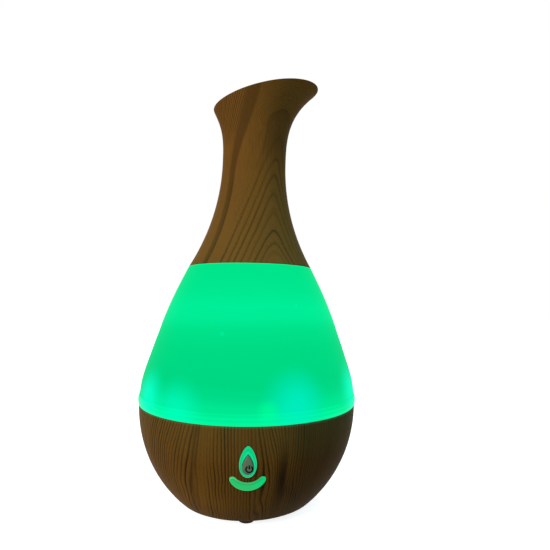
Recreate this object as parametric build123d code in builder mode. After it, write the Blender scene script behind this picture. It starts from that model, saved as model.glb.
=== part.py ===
from build123d import *
import os
from math import cos, radians, sin, sqrt, tan

os.makedirs("parts", exist_ok=True)

# Cool mist humidifier in the shape of a jug, in millimetres.
# The origin is on the axis at the floor. The buttons face -Y, the spout points to +X and +Z is up.

# Base bowl and feet
foot_height = 2.0
foot_radius = 3.5
foot_distance = 25.6
foot_count = 3
foot_angle = 30.0
foot_recess = 0.8
foot_edge_round = 0.4
base_height = 44.3
base_bottom_radius = 31.6
base_top_radius = 51.6
bowl_wall = 2.4
bowl_edge_round = 0.8

# Tank deck with its bead, and the tank cup
bead_height = 4.5
bead_bulge = 0.45
deck_thickness = 2.0
deck_gasket_thickness = 0.8
locating_ring_height = 3.5
locating_ring_wall = 1.5
skirt_depth = 4.0
skirt_wall = 1.5
tank_rim_height = 40.7
tank_depth = 49.0
tank_rim_clearance = 2.35
tank_draft = 1.0
tank_wall = 1.5
tank_floor_thickness = 2.0
tank_corner_round = 3.0

# Lift-off cover: translucent shell, then neck and spout
shell_height = 59.8
shell_setback = 0.25
shell_low_height = 15.5
shell_low_share = 0.1623
shell_high_height = 39.5
shell_high_share = 0.5585
shell_top_radius = 30.4
shell_start_lean = -0.04
shell_end_lean = -0.50
shell_wall = 2.2
shell_edge_round = 0.4
collar_height = 6.0
waist_height = 53.5
waist_radius = 16.05
neck_slope = 0.02
lip_height = 87.2
lip_half_length = 27.8
lip_half_width = 20.3
lip_lean = 6.8
lip_tilt = 14.0
flare_power = 3.0
lean_power = 5.5
tilt_power = 2.1
neck_wall = 2.0
rim_round = 0.4
spigot_wall = 1.8
spigot_shoulder = 0.4
waist_shares = (0, 0.33, 0.67, 1)
spout_shares = (0, 0.4, 0.75, 1)

# Buttons on the front of the bowl, on one plane that touches the bowl
button_tilt = 18.0
drop_half_width = 3.6
drop_widest = 3.5
drop_bottom = -2.1
drop_top = 11.4
drop_tip = 0.5
drop_shoulder = 0.5
key_half_width = 2.4
key_widest = 2.0
key_bottom = -0.75
key_top = 8.1
key_tip = 0.25
smile_cap_offset = 6.05
smile_cap_height = -2.7
smile_cap_radius = 1.3
smile_bottom = -8.3
smile_inner = -3.8
button_gap = 0.25
bezel_proud = 0.35
power_key_proud = 0.2
light_key_proud = 0.4
outside_depth = -3.0
press_travel = 0.5
bezel_depth = 5.2
key_flange = 1.0
key_flange_gap = 0.2
bezel_ear_half_width = 4.8
bezel_ear_top = 8.0
power_flange_half_width = 3.4
power_flange_bottom = -1.6
power_flange_top = 5.6
light_flange_grow = 0.6
flange_corner = 0.9
stem_radius = 1.3
stem_length = 0.6
plunger_radius = 1.0
plunger_seat = 1.0
switch_length = 6.0
switch_width = 3.5
switch_height = 2.0
light_switch_height = -6.0
button_board_half_width = 12.0
button_board_bottom = -9.5
button_board_top = 5.0
button_boss_offset = 9.2
button_boss_height = 2.5
button_boss_radius = 1.9
boss_root_depth = 2.2
button_led_offset = 5.6

# Bottom cover with the fan on it
cover_thickness = 2.0
cover_radius = 29.5
cover_lip = 1.7
slot_count = 12
slot_length = 8.5
slot_width = 2.0
slot_distance = 8.8
case_screw_distance = 21.5
case_screw_count = 3
case_screw_angle = 60.0
case_post_radius = 3.0
case_screw_radius = 1.4
case_screw_length = 11.0
case_head_radius = 2.4
case_head_height = 1.2
fan_size = 30.0
fan_thickness = 10.0
fan_corner = 2.0
fan_bore_radius = 14.2
fan_hole_distance = 24.0
fan_hole_radius = 1.5
fan_standoff = 2.0
fan_standoff_radius = 2.4
fan_screw_radius = 1.2
fan_head_radius = 2.1
fan_head_height = 1.2
motor_plate_radius = 7.4
motor_plate_thickness = 1.2
strut_count = 3
strut_angle = 20.0
strut_width = 2.0
bearing_tube_radius = 3.2
bearing_radius = 2.3
bearing_length = 5.0
shaft_radius = 0.75
stator_radius = 5.3
stator_height = 3.6
stator_poles = 4
pole_width = 3.0
rotor_lift = 0.8
hub_radius = 7.8
hub_wall = 0.9
hub_height = 6.6
hub_top = 1.2
hub_boss_radius = 1.8
magnet_wall = 0.9
blade_count = 7
blade_root_chord = 5.6
blade_tip_chord = 8.4
blade_root_pitch = 44.0
blade_tip_pitch = 28.0
blade_thickness = 0.8
blade_tip_gap = 0.6

# Mist maker under the tank floor
floor_opening_radius = 8.5
transducer_radius = 10.0
transducer_thickness = 1.2
gasket_radius = 12.0
gasket_thickness = 3.6
gasket_inner_radius = 8.2
gasket_recess = 0.6
clamp_hub_radius = 17.0
clamp_thickness = 1.5
clamp_opening_radius = 7.5
clamp_screw_distance = 14.5
clamp_screw_count = 3
clamp_screw_angle = 90.0
clamp_screw_radius = 0.9
clamp_screw_length = 3.6
small_head_radius = 1.6
small_head_height = 0.9
air_pipe_radius = 4.0
air_pipe_bore = 2.8
air_pipe_inset = 7.1
air_pipe_drop = 3.0

# Ring of lamps under the deck
ring_board_cup_gap = 1.9
ring_board_clearance = 2.9
board_thickness = 1.2
ring_board_drop = 4.6
ring_boss_radius = 1.8
ring_screw_count = 3
ring_screw_angle = 30.0
ring_screw_radius = 0.8
ring_screw_length = 3.4
led_count = 8
led_first_angle = -70.0
led_length = 3.5
led_width = 2.8
led_height = 1.9

# Driver board, which stands in two slotted rails. A spot on it is (y, height over the bottom cover).
main_board_x = 19.4
main_board_thickness = 1.6
main_board_half_width = 11.0
main_board_height = 24.0
rail_length = 3.0
rail_width = 4.4
rail_height = 12.0
rail_overlap = 1.2
header_depth = 2.5
header_size = 4.0
coil_radius = 4.2
coil_length = 6.5
coil_flange = 0.9
coil_waist = 3.2
capacitor_radius = 2.5
capacitor_length = 8.0
capacitor_edge_round = 0.6
transistor_thickness = 2.3
transistor_length = 6.6
transistor_height = 6.0
sink_base = 1.2
sink_depth = 5.0
sink_length = 11.0
sink_height = 8.0
fin_count = 5
fin_thickness = 0.8
chip_length = 5.0
chip_height = 4.0
chip_thickness = 1.5
coil_spot = (-5.8, 17.5)
capacitor_spots = [(7.2, 19.6), (7.2, 13.6)]
transistor_spot = (0.0, 6.0)
chip_spot = (1.2, 14.2)
transducer_spot = (0.0, 17.0)
button_spot = (-7.5, 20.0)
socket_spot = (7.5, 19.0)
fan_spot = (-6.0, 7.0)
ring_spot = (1.2, 21.0)

# Power socket at the back of the bowl
socket_height = 14.0
socket_pocket_radius = 6.0
socket_boss_wall = 2.0
socket_panel = 3.2
socket_barrel_radius = 4.0
socket_flange_radius = 5.4
socket_flange = 1.2
socket_length = 9.0
socket_bore = 2.75
socket_bore_depth = 7.5
socket_pin_radius = 1.0
socket_pin_length = 6.5
nut_radius = 6.2
nut_thickness = 2.0
nut_sides = 6

# Leads inside the base
lead_radius = 0.9
lead_run_up = 6.0
lead_bend_share = 0.45
ring_lead_inset = 1.5
button_lead_spot = (2.0, -2.0, 0.0)
button_lead_reach = 9.0
button_lead_bend = (4.5, -13.0)
button_lead_drop = 3.6
socket_lead_reach = 7.5
socket_lead_bend = (4.0, 13.0)
socket_lead_fall = 1.0

# Clearances
fit_gap = 0.2
slip_gap = 0.3
thread_gap = 0.05
press_gap = 0.02
running_gap = 0.04

# Levels and radii worked out from the sizes above
base_z = foot_height
cover_top_z = base_z + cover_thickness
lip_top_z = cover_top_z + cover_thickness
seam_z = base_z + base_height
bead_top_z = seam_z + bead_height
shell_bottom_radius = base_top_radius - shell_setback
shell_taper = shell_bottom_radius - shell_top_radius
shell_low_radius = shell_bottom_radius - shell_low_share * shell_taper
shell_high_radius = shell_bottom_radius - shell_high_share * shell_taper
tank_rim_radius = shell_high_radius - shell_wall - tank_rim_clearance - tank_wall
air_pipe_distance = tank_rim_radius - air_pipe_inset
deck_top_z = seam_z + deck_thickness
neck_seam_z = bead_top_z + shell_height
tank_rim_z = seam_z + tank_rim_height
tank_floor_z = tank_rim_z - tank_depth
tank_under_z = tank_floor_z - tank_floor_thickness
gasket_top_z = tank_under_z + gasket_recess
gasket_bottom_z = gasket_top_z - gasket_thickness
transducer_z = (gasket_top_z + gasket_bottom_z - transducer_thickness) / 2
fan_z = cover_top_z + fan_standoff
fan_top_z = fan_z + fan_thickness
motor_plate_z = fan_z + motor_plate_thickness
rotor_z = motor_plate_z + rotor_lift
hub_top_z = rotor_z + hub_height
ring_board_z = seam_z - ring_board_drop
main_board_z = cover_top_z
main_board_face = main_board_x + main_board_thickness
base_flare = base_top_radius - base_bottom_radius
bowl_arc_radius = (base_flare ** 2 + base_height ** 2) / (2 * base_flare)
bowl_arc_centre = base_top_radius - bowl_arc_radius
neck_flare = shell_top_radius - waist_radius
neck_arc_radius = (neck_flare ** 2 + waist_height ** 2) / (2 * neck_flare)
spigot_radius = shell_top_radius - shell_wall - fit_gap - spigot_shoulder
ring_outer = shell_bottom_radius - shell_wall - slip_gap
ring_inner = ring_outer - locating_ring_wall
skirt_outer = base_top_radius - bowl_wall - slip_gap
skirt_inner = skirt_outer - skirt_wall
ring_board_outer = skirt_inner - ring_board_clearance
ring_board_inner = tank_rim_radius + tank_wall + ring_board_cup_gap
ring_screw_distance = (ring_board_inner + ring_board_outer) / 2
switch_depth = bezel_depth + key_flange_gap + key_flange + stem_length + press_travel + fit_gap
button_board_depth = switch_depth + switch_height


def bowl_radius(z, inset=0.0):
    """Radius of the bowl's outer face at height z, or of a face that lies inset below it."""
    return bowl_arc_centre + sqrt((bowl_arc_radius - inset) ** 2 - (seam_z - z) ** 2)


def bowl_core(inset):
    """Everything inside the bowl's outer face moved inwards by inset, from the lip up to the seam."""
    middle_z = (lip_top_z + seam_z) / 2
    with BuildPart() as core:
        with BuildSketch(Plane.XZ):
            with BuildLine():
                low = (bowl_radius(lip_top_z, inset), lip_top_z)
                middle = (bowl_radius(middle_z, inset), middle_z)
                high = (bowl_radius(seam_z, inset), seam_z)
                ThreePointArc(low, middle, high)
                Polyline(high, (0, seam_z), (0, lip_top_z), low)
            make_face()
        revolve(axis=Axis.Z)
    return core.part


# The plane of the buttons touches the bowl where the bowl leans by button_tilt.
button_z = seam_z - bowl_arc_radius * sin(radians(button_tilt))
button_out = Vector(0, -cos(radians(button_tilt)), -sin(radians(button_tilt)))
button_origin = Vector(0, -bowl_radius(button_z), button_z)


def button_plane(depth):
    """Plane parallel to the button plane, depth below it, with +X to the right and +Y upwards."""
    return Plane(origin=button_origin - button_out * depth, x_dir=(1, 0, 0), z_dir=button_out)


def drop_face(half_width, widest, bottom, top, tip, grow):
    """Drop outline: half an ellipse below its widest line and a pointed crown above it."""
    side = half_width + grow
    crown = top + grow
    shoulder = widest + drop_shoulder * (crown - widest)
    with BuildSketch() as drop:
        with BuildLine():
            EllipticalCenterArc((0, widest), side, widest - bottom + grow, 180, arc_size=180)
            Bezier((side, widest), (side, shoulder), (tip, crown), (0, crown))
            Bezier((0, crown), (-tip, crown), (-side, shoulder), (-side, widest))
        make_face()
    return drop.sketch


def bezel_drop(grow):
    return drop_face(drop_half_width, drop_widest, drop_bottom, drop_top, drop_tip, grow)


def key_drop(grow):
    return drop_face(key_half_width, key_widest, key_bottom, key_top, key_tip, grow)


def smile_face(grow):
    """Crescent whose two long arcs run tangent into round ends."""
    cap = Vector(smile_cap_offset, smile_cap_height)
    cap_radius = smile_cap_radius + grow
    low = smile_bottom - grow
    high = smile_inner + grow
    rise = cap.Y - low
    dip = cap.Y - high
    outer_radius = (cap.X ** 2 + rise ** 2 - cap_radius ** 2) / (2 * (rise - cap_radius))
    inner_radius = (cap.X ** 2 + dip ** 2 - cap_radius ** 2) / (2 * (dip + cap_radius))
    outer_way = (cap - Vector(0, low + outer_radius)).normalized()
    inner_way = (cap - Vector(0, high + inner_radius)).normalized()
    outer_end = cap + outer_way * cap_radius
    inner_end = cap - inner_way * cap_radius
    tip = cap + Vector(-outer_way.Y, outer_way.X) * cap_radius
    with BuildSketch() as smile:
        with BuildLine():
            ThreePointArc(outer_end, tip, inner_end)
            mirror(about=Plane.YZ)
            ThreePointArc((-outer_end.X, outer_end.Y), (0, low), outer_end)
            ThreePointArc((-inner_end.X, inner_end.Y), (0, high), inner_end)
        make_face()
    return smile.sketch


def prism(face, from_depth, to_depth):
    """Solid made by pushing a face of the button plane outwards between two depths below that plane."""
    with BuildPart() as block:
        with BuildSketch(button_plane(from_depth)):
            add(face)
        extrude(amount=from_depth - to_depth)
    return block.part


# Base bowl: a moulded shell with a printed wood grain. Inside are a lip for the bottom cover,
# two bosses for the button board and a flat boss for the power socket.
socket_face_y = bowl_radius(socket_height - socket_pocket_radius) - slip_gap
socket_inner_y = socket_face_y - socket_panel
boss_places = [(-button_boss_offset, button_boss_height), (button_boss_offset, button_boss_height)]
with BuildPart() as socket_boss:
    with BuildSketch(Plane.XZ.offset(-socket_inner_y)):
        with Locations((0, socket_height)):
            Circle(socket_pocket_radius + socket_boss_wall)
    extrude(amount=-(base_top_radius - socket_inner_y))
    add(bowl_core(bowl_wall / 2), mode=Mode.INTERSECT)
with BuildPart() as base_bowl:
    with BuildSketch(Plane.XZ):
        with BuildLine():
            bowl_middle = base_z + base_height / 2
            wall_middle = (lip_top_z + seam_z) / 2
            bowl_foot = (base_bottom_radius, base_z)
            bowl_edge = (base_top_radius, seam_z)
            wall_edge = (bowl_radius(seam_z, bowl_wall), seam_z)
            wall_foot = (bowl_radius(lip_top_z, bowl_wall), lip_top_z)
            lip_inner = cover_radius - cover_lip
            opening = cover_radius + fit_gap
            ThreePointArc(bowl_foot, (bowl_radius(bowl_middle), bowl_middle), bowl_edge)
            Line(bowl_edge, wall_edge)
            ThreePointArc(wall_edge, (bowl_radius(wall_middle, bowl_wall), wall_middle), wall_foot)
            Polyline(
                wall_foot,
                (lip_inner, lip_top_z),
                (lip_inner, cover_top_z),
                (opening, cover_top_z),
                (opening, base_z),
                bowl_foot,
            )
        make_face()
    revolve(axis=Axis.Z)
    bottom_edges = base_bowl.edges().group_by(Axis.Z)[0].sort_by(SortBy.RADIUS)
    fillet(bottom_edges[-1], bowl_edge_round)
    add(socket_boss.part)
    with BuildSketch(Plane.XZ.offset(-socket_face_y)):
        with Locations((0, socket_height)):
            Circle(socket_pocket_radius)
    extrude(amount=-base_top_radius, mode=Mode.SUBTRACT)
    with BuildSketch(Plane.XZ.offset(-socket_inner_y)):
        with Locations((0, socket_height)):
            Circle(socket_barrel_radius + thread_gap)
    extrude(amount=-base_top_radius, mode=Mode.SUBTRACT)
    with BuildSketch(button_plane(button_board_depth)):
        with Locations(*boss_places):
            Circle(button_boss_radius)
    extrude(amount=button_board_depth - boss_root_depth)
    with BuildSketch(button_plane(button_board_depth)):
        with Locations(*boss_places):
            Circle(ring_screw_radius + thread_gap)
    extrude(amount=ring_screw_length, mode=Mode.SUBTRACT)
    add(prism(bezel_drop(press_gap), bezel_depth + key_flange, outside_depth), mode=Mode.SUBTRACT)
    add(prism(smile_face(button_gap), bezel_depth + key_flange, outside_depth), mode=Mode.SUBTRACT)
base_bowl.part.label = "base_bowl"
export_step(base_bowl.part, "parts/base_bowl.step")

# Drop bezel: translucent light guide that fills the drop-shaped window round the power key.
# Two ears behind the wall stop it from being pulled out.
with BuildPart() as bezel_ears:
    with BuildSketch(button_plane(bezel_depth)):
        with Locations((0, bezel_ear_top / 2)):
            RectangleRounded(2 * bezel_ear_half_width, bezel_ear_top, flange_corner)
    extrude(amount=bezel_depth)
    add(bowl_core(bowl_wall + fit_gap), mode=Mode.INTERSECT)
with BuildPart() as drop_bezel:
    add(prism(bezel_drop(0), bezel_depth, outside_depth))
    add(bowl_core(-bezel_proud), mode=Mode.INTERSECT)
    add(bezel_ears.part)
    add(prism(key_drop(button_gap), bezel_depth, outside_depth), mode=Mode.SUBTRACT)
drop_bezel.part.label = "drop_bezel"
export_step(drop_bezel.part, "parts/drop_bezel.step")

# Power button: drop-shaped key with a flange behind the bezel and a stem towards its switch.
flange_front = bezel_depth + key_flange_gap
flange_back = flange_front + key_flange
stem_end = flange_back + stem_length
with BuildPart() as power_button:
    add(prism(key_drop(0), flange_back, outside_depth))
    add(bowl_core(-power_key_proud), mode=Mode.INTERSECT)
    with BuildSketch(button_plane(flange_back)):
        with Locations((0, (power_flange_bottom + power_flange_top) / 2)):
            flange_tall = power_flange_top - power_flange_bottom
            RectangleRounded(2 * power_flange_half_width, flange_tall, flange_corner)
    extrude(amount=key_flange)
    with BuildSketch(button_plane(stem_end)):
        with Locations((0, key_widest)):
            Circle(stem_radius)
    extrude(amount=stem_length)
power_button.part.label = "power_button"
export_step(power_button.part, "parts/power_button.step")

# Light button: smile-shaped translucent key that stops against the inside of the bowl.
with BuildPart() as smile_flange:
    add(prism(smile_face(light_flange_grow), flange_back, 0))
    add(bowl_core(bowl_wall + slip_gap), mode=Mode.INTERSECT)
with BuildPart() as light_button:
    add(prism(smile_face(0), flange_back, outside_depth))
    add(bowl_core(-light_key_proud), mode=Mode.INTERSECT)
    add(smile_flange.part)
    with BuildSketch(button_plane(stem_end)):
        with Locations((0, light_switch_height)):
            Circle(stem_radius)
    extrude(amount=stem_length)
light_button.part.label = "light_button"
export_step(light_button.part, "parts/light_button.step")

# Switch plungers: each is pushed by the stem of its key and slides in its switch.
with BuildPart() as power_plunger:
    with BuildSketch(button_plane(switch_depth + plunger_seat)):
        with Locations((0, key_widest)):
            Circle(plunger_radius)
    extrude(amount=switch_depth + plunger_seat - stem_end)
power_plunger.part.label = "power_plunger"
export_step(power_plunger.part, "parts/power_plunger.step")

with BuildPart() as light_plunger:
    with BuildSketch(button_plane(switch_depth + plunger_seat)):
        with Locations((0, light_switch_height)):
            Circle(plunger_radius)
    extrude(amount=switch_depth + plunger_seat - stem_end)
light_plunger.part.label = "light_plunger"
export_step(light_plunger.part, "parts/light_plunger.step")

# Switch bodies: two low push switches soldered to the button board.
switch_places = [(0, key_widest), (0, light_switch_height)]
with BuildPart() as switch_bodies:
    with BuildSketch(button_plane(button_board_depth)):
        with Locations(*switch_places):
            RectangleRounded(switch_length, switch_width, flange_corner / 2)
    extrude(amount=switch_height)
    with BuildSketch(button_plane(switch_depth + plunger_seat + press_travel + fit_gap)):
        with Locations(*switch_places):
            Circle(plunger_radius + running_gap)
    extrude(amount=plunger_seat + press_travel + fit_gap, mode=Mode.SUBTRACT)
switch_bodies.part.label = "switch_bodies"
export_step(switch_bodies.part, "parts/switch_bodies.step")

# Button board: small circuit board screwed to the two bosses of the bowl.
board_back_depth = button_board_depth + board_thickness
with BuildPart() as button_board:
    with BuildSketch(button_plane(board_back_depth)):
        with Locations((0, (button_board_bottom + button_board_top) / 2)):
            board_tall = button_board_top - button_board_bottom
            RectangleRounded(2 * button_board_half_width, board_tall, flange_corner)
        with Locations(*boss_places):
            Circle(ring_screw_radius + fit_gap, mode=Mode.SUBTRACT)
    extrude(amount=board_thickness)
button_board.part.label = "button_board"
export_step(button_board.part, "parts/button_board.step")

with BuildPart() as button_board_screws:
    with BuildSketch(button_plane(board_back_depth + small_head_height)):
        with Locations(*boss_places):
            Circle(small_head_radius)
    extrude(amount=small_head_height)
    with BuildSketch(button_plane(board_back_depth)):
        with Locations(*boss_places):
            Circle(ring_screw_radius)
    extrude(amount=ring_screw_length)
button_board_screws.part.label = "button_board_screws"
export_step(button_board_screws.part, "parts/button_board_screws.step")

# Button lamps: chip lamps on the board that light the bezel and the smile.
with BuildPart() as button_leds:
    with BuildSketch(button_plane(button_board_depth)):
        with Locations(*[(side * button_led_offset, y) for side in (-1, 1) for x, y in switch_places]):
            Rectangle(led_width / 2, led_width)
    extrude(amount=led_height / 2)
button_leds.part.label = "button_leds"
export_step(button_leds.part, "parts/button_leds.step")


def cup_radius(z):
    """Inner radius of the tank cup, which widens a little towards its rim."""
    return tank_rim_radius - tank_draft * (tank_rim_z - z) / tank_depth


# Water tank: one translucent moulding. The cup holds the water and its deck carries the bead that
# shows between bowl and shell, the ring that centres the cover and the skirt that fits the bowl.
deck_gasket_outer = base_top_radius - bowl_edge_round
deck_gasket_inner = skirt_outer + bowl_edge_round
with BuildPart() as water_tank:
    with BuildSketch(Plane.XZ) as tank_profile:
        with BuildLine():
            bead_foot = (base_top_radius, seam_z)
            bead_middle = (base_top_radius + bead_bulge, (seam_z + bead_top_z) / 2)
            bead_edge = (base_top_radius, bead_top_z)
            gasket_level = seam_z + deck_gasket_thickness
            ThreePointArc(bead_edge, bead_middle, bead_foot)
            Polyline(
                bead_foot,
                (deck_gasket_outer, seam_z),
                (deck_gasket_outer, gasket_level),
                (deck_gasket_inner, gasket_level),
                (deck_gasket_inner, seam_z),
                (skirt_outer, seam_z),
                (skirt_outer, seam_z - skirt_depth),
                (skirt_inner, seam_z - skirt_depth),
                (skirt_inner, seam_z),
                (cup_radius(seam_z) + tank_wall, seam_z),
                (cup_radius(tank_under_z) + tank_wall, tank_under_z),
                (clamp_hub_radius, tank_under_z),
                (clamp_hub_radius, gasket_bottom_z),
                (gasket_radius + fit_gap, gasket_bottom_z),
                (gasket_radius + fit_gap, gasket_top_z),
                (floor_opening_radius, gasket_top_z),
                (floor_opening_radius, tank_floor_z),
                (cup_radius(tank_floor_z), tank_floor_z),
                (tank_rim_radius, tank_rim_z),
                (tank_rim_radius + tank_wall, tank_rim_z),
                (cup_radius(deck_top_z) + tank_wall, deck_top_z),
                (ring_inner, deck_top_z),
                (ring_inner, bead_top_z + locating_ring_height),
                (ring_outer, bead_top_z + locating_ring_height),
                (ring_outer, bead_top_z),
                bead_edge,
            )
        make_face()
        floor_corner = (cup_radius(tank_floor_z), tank_floor_z, 0)
        fillet(tank_profile.vertices().sort_by_distance(floor_corner)[0], tank_corner_round)
    revolve(axis=Axis.Z)
    with BuildSketch(Plane.XY.offset(tank_under_z)):
        with Locations((0, air_pipe_distance)):
            Circle(air_pipe_radius)
    extrude(amount=tank_rim_z - air_pipe_drop - tank_under_z)
    with BuildSketch(Plane.XY.offset(tank_under_z)):
        with Locations((0, air_pipe_distance)):
            Circle(air_pipe_bore)
    extrude(amount=tank_rim_z - tank_under_z, mode=Mode.SUBTRACT)
    with BuildSketch(Plane.XY.offset(cover_top_z)):
        with PolarLocations(case_screw_distance, case_screw_count, start_angle=case_screw_angle):
            Circle(case_post_radius)
    extrude(amount=tank_under_z - cover_top_z)
    with BuildSketch(Plane.XY.offset(cover_top_z)):
        with PolarLocations(case_screw_distance, case_screw_count, start_angle=case_screw_angle):
            Circle(case_screw_radius + thread_gap)
    extrude(amount=case_screw_length, mode=Mode.SUBTRACT)
    with BuildSketch(Plane.XY.offset(gasket_bottom_z)):
        with PolarLocations(clamp_screw_distance, clamp_screw_count, start_angle=clamp_screw_angle):
            Circle(clamp_screw_radius + thread_gap)
    extrude(amount=clamp_screw_length, mode=Mode.SUBTRACT)
    with BuildSketch(Plane.XY.offset(ring_board_z)):
        with PolarLocations(ring_screw_distance, ring_screw_count, start_angle=ring_screw_angle):
            Circle(ring_boss_radius)
    extrude(amount=ring_board_drop)
    with BuildSketch(Plane.XY.offset(ring_board_z)):
        with PolarLocations(ring_screw_distance, ring_screw_count, start_angle=ring_screw_angle):
            Circle(ring_screw_radius + thread_gap)
    extrude(amount=ring_screw_length, mode=Mode.SUBTRACT)
water_tank.part.label = "water_tank"
export_step(water_tank.part, "parts/water_tank.step")

# Deck gasket: flat silicone ring in the groove under the bead.
with BuildPart() as deck_gasket:
    with BuildSketch(Plane.XY.offset(seam_z)):
        Circle(deck_gasket_outer - thread_gap)
        Circle(deck_gasket_inner + thread_gap, mode=Mode.SUBTRACT)
    extrude(amount=deck_gasket_thickness)
deck_gasket.part.label = "deck_gasket"
export_step(deck_gasket.part, "parts/deck_gasket.step")

# Mist maker: an ultrasonic disc in a grooved silicone ring, pressed up by a clamp with three screws.
with BuildPart() as transducer_disc:
    with BuildSketch(Plane.XY.offset(transducer_z)):
        Circle(transducer_radius)
    extrude(amount=transducer_thickness)
transducer_disc.part.label = "transducer_disc"
export_step(transducer_disc.part, "parts/transducer_disc.step")

with BuildPart() as transducer_gasket:
    with BuildSketch(Plane.XY.offset(gasket_bottom_z)):
        Circle(gasket_radius)
        Circle(gasket_inner_radius, mode=Mode.SUBTRACT)
    extrude(amount=gasket_thickness)
    with BuildSketch(Plane.XY.offset(transducer_z)):
        Circle(transducer_radius + press_gap)
    extrude(amount=transducer_thickness, mode=Mode.SUBTRACT)
transducer_gasket.part.label = "transducer_gasket"
export_step(transducer_gasket.part, "parts/transducer_gasket.step")

clamp_z = gasket_bottom_z - clamp_thickness
with BuildPart() as transducer_clamp:
    with BuildSketch(Plane.XY.offset(clamp_z)):
        Circle(clamp_hub_radius)
        Circle(clamp_opening_radius, mode=Mode.SUBTRACT)
        with PolarLocations(clamp_screw_distance, clamp_screw_count, start_angle=clamp_screw_angle):
            Circle(clamp_screw_radius + fit_gap, mode=Mode.SUBTRACT)
    extrude(amount=clamp_thickness)
transducer_clamp.part.label = "transducer_clamp"
export_step(transducer_clamp.part, "parts/transducer_clamp.step")

with BuildPart() as clamp_screws:
    with BuildSketch(Plane.XY.offset(clamp_z - small_head_height)):
        with PolarLocations(clamp_screw_distance, clamp_screw_count, start_angle=clamp_screw_angle):
            Circle(small_head_radius)
    extrude(amount=small_head_height)
    with BuildSketch(Plane.XY.offset(clamp_z)):
        with PolarLocations(clamp_screw_distance, clamp_screw_count, start_angle=clamp_screw_angle):
            Circle(clamp_screw_radius)
    extrude(amount=clamp_thickness + clamp_screw_length)
clamp_screws.part.label = "clamp_screws"
export_step(clamp_screws.part, "parts/clamp_screws.step")

# Ring board: circuit board with eight lamps that shine up through the translucent deck.
board_under_z = ring_board_z - board_thickness
with BuildPart() as led_ring_board:
    with BuildSketch(Plane.XY.offset(board_under_z)):
        Circle(ring_board_outer)
        Circle(ring_board_inner, mode=Mode.SUBTRACT)
        with PolarLocations(ring_screw_distance, ring_screw_count, start_angle=ring_screw_angle):
            Circle(ring_screw_radius + fit_gap, mode=Mode.SUBTRACT)
    extrude(amount=board_thickness)
led_ring_board.part.label = "led_ring_board"
export_step(led_ring_board.part, "parts/led_ring_board.step")

with BuildPart() as ring_leds:
    with BuildSketch(Plane.XY.offset(ring_board_z)):
        with PolarLocations(ring_screw_distance, led_count, start_angle=led_first_angle):
            Rectangle(led_width, led_length)
    extrude(amount=led_height)
ring_leds.part.label = "ring_leds"
export_step(ring_leds.part, "parts/ring_leds.step")

with BuildPart() as ring_board_screws:
    with BuildSketch(Plane.XY.offset(board_under_z - small_head_height)):
        with PolarLocations(ring_screw_distance, ring_screw_count, start_angle=ring_screw_angle):
            Circle(small_head_radius)
    extrude(amount=small_head_height)
    with BuildSketch(Plane.XY.offset(board_under_z)):
        with PolarLocations(ring_screw_distance, ring_screw_count, start_angle=ring_screw_angle):
            Circle(ring_screw_radius)
    extrude(amount=ring_screw_length)
ring_board_screws.part.label = "ring_board_screws"
export_step(ring_board_screws.part, "parts/ring_board_screws.step")

# Bottom cover: disc with air slots, seats for the feet, the fan's posts and the driver board's rails.
rail_middle = main_board_half_width - rail_overlap + rail_length / 2
rail_x = main_board_x + main_board_thickness / 2
with BuildPart() as bottom_cover:
    with BuildSketch(Plane.XY.offset(base_z)):
        Circle(cover_radius)
        with PolarLocations(slot_distance, slot_count):
            SlotOverall(slot_length, slot_width, mode=Mode.SUBTRACT)
        with PolarLocations(case_screw_distance, case_screw_count, start_angle=case_screw_angle):
            Circle(case_screw_radius + fit_gap, mode=Mode.SUBTRACT)
    extrude(amount=cover_thickness)
    with BuildSketch(Plane.XY.offset(base_z)):
        with PolarLocations(case_screw_distance, case_screw_count, start_angle=case_screw_angle):
            Circle(case_head_radius + fit_gap)
    extrude(amount=case_head_height, mode=Mode.SUBTRACT)
    with BuildSketch(Plane.XY.offset(base_z)):
        with PolarLocations(foot_distance, foot_count, start_angle=foot_angle):
            Circle(foot_radius + thread_gap)
    extrude(amount=foot_recess, mode=Mode.SUBTRACT)
    with BuildSketch(Plane.XY.offset(cover_top_z)):
        with GridLocations(fan_hole_distance, fan_hole_distance, 2, 2):
            Circle(fan_standoff_radius)
            Circle(fan_screw_radius + thread_gap, mode=Mode.SUBTRACT)
    extrude(amount=fan_standoff)
    with BuildSketch(Plane.XY.offset(cover_top_z)):
        with Locations((rail_x, rail_middle), (rail_x, -rail_middle)):
            Rectangle(rail_width, rail_length)
        with Locations((rail_x, 0)):
            slot_span = 2 * (main_board_half_width + fit_gap)
            Rectangle(main_board_thickness + fit_gap, slot_span, mode=Mode.SUBTRACT)
    extrude(amount=rail_height)
bottom_cover.part.label = "bottom_cover"
export_step(bottom_cover.part, "parts/bottom_cover.step")

# Rubber feet: three pads in the seats of the bottom cover, one of them at the front.
with BuildPart() as rubber_feet:
    with BuildSketch():
        with PolarLocations(foot_distance, foot_count, start_angle=foot_angle):
            Circle(foot_radius)
    extrude(amount=foot_height + foot_recess)
    fillet(rubber_feet.edges().group_by(Axis.Z)[0], foot_edge_round)
rubber_feet.part.label = "rubber_feet"
export_step(rubber_feet.part, "parts/rubber_feet.step")

# Case screws: they pull the bottom cover and the tank together on the bowl.
with BuildPart() as case_screws:
    with BuildSketch(Plane.XY.offset(base_z)):
        with PolarLocations(case_screw_distance, case_screw_count, start_angle=case_screw_angle):
            Circle(case_head_radius)
    extrude(amount=case_head_height)
    with BuildSketch(Plane.XY.offset(base_z + case_head_height)):
        with PolarLocations(case_screw_distance, case_screw_count, start_angle=case_screw_angle):
            Circle(case_screw_radius)
    extrude(amount=case_screw_length)
case_screws.part.label = "case_screws"
export_step(case_screws.part, "parts/case_screws.step")

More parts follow.
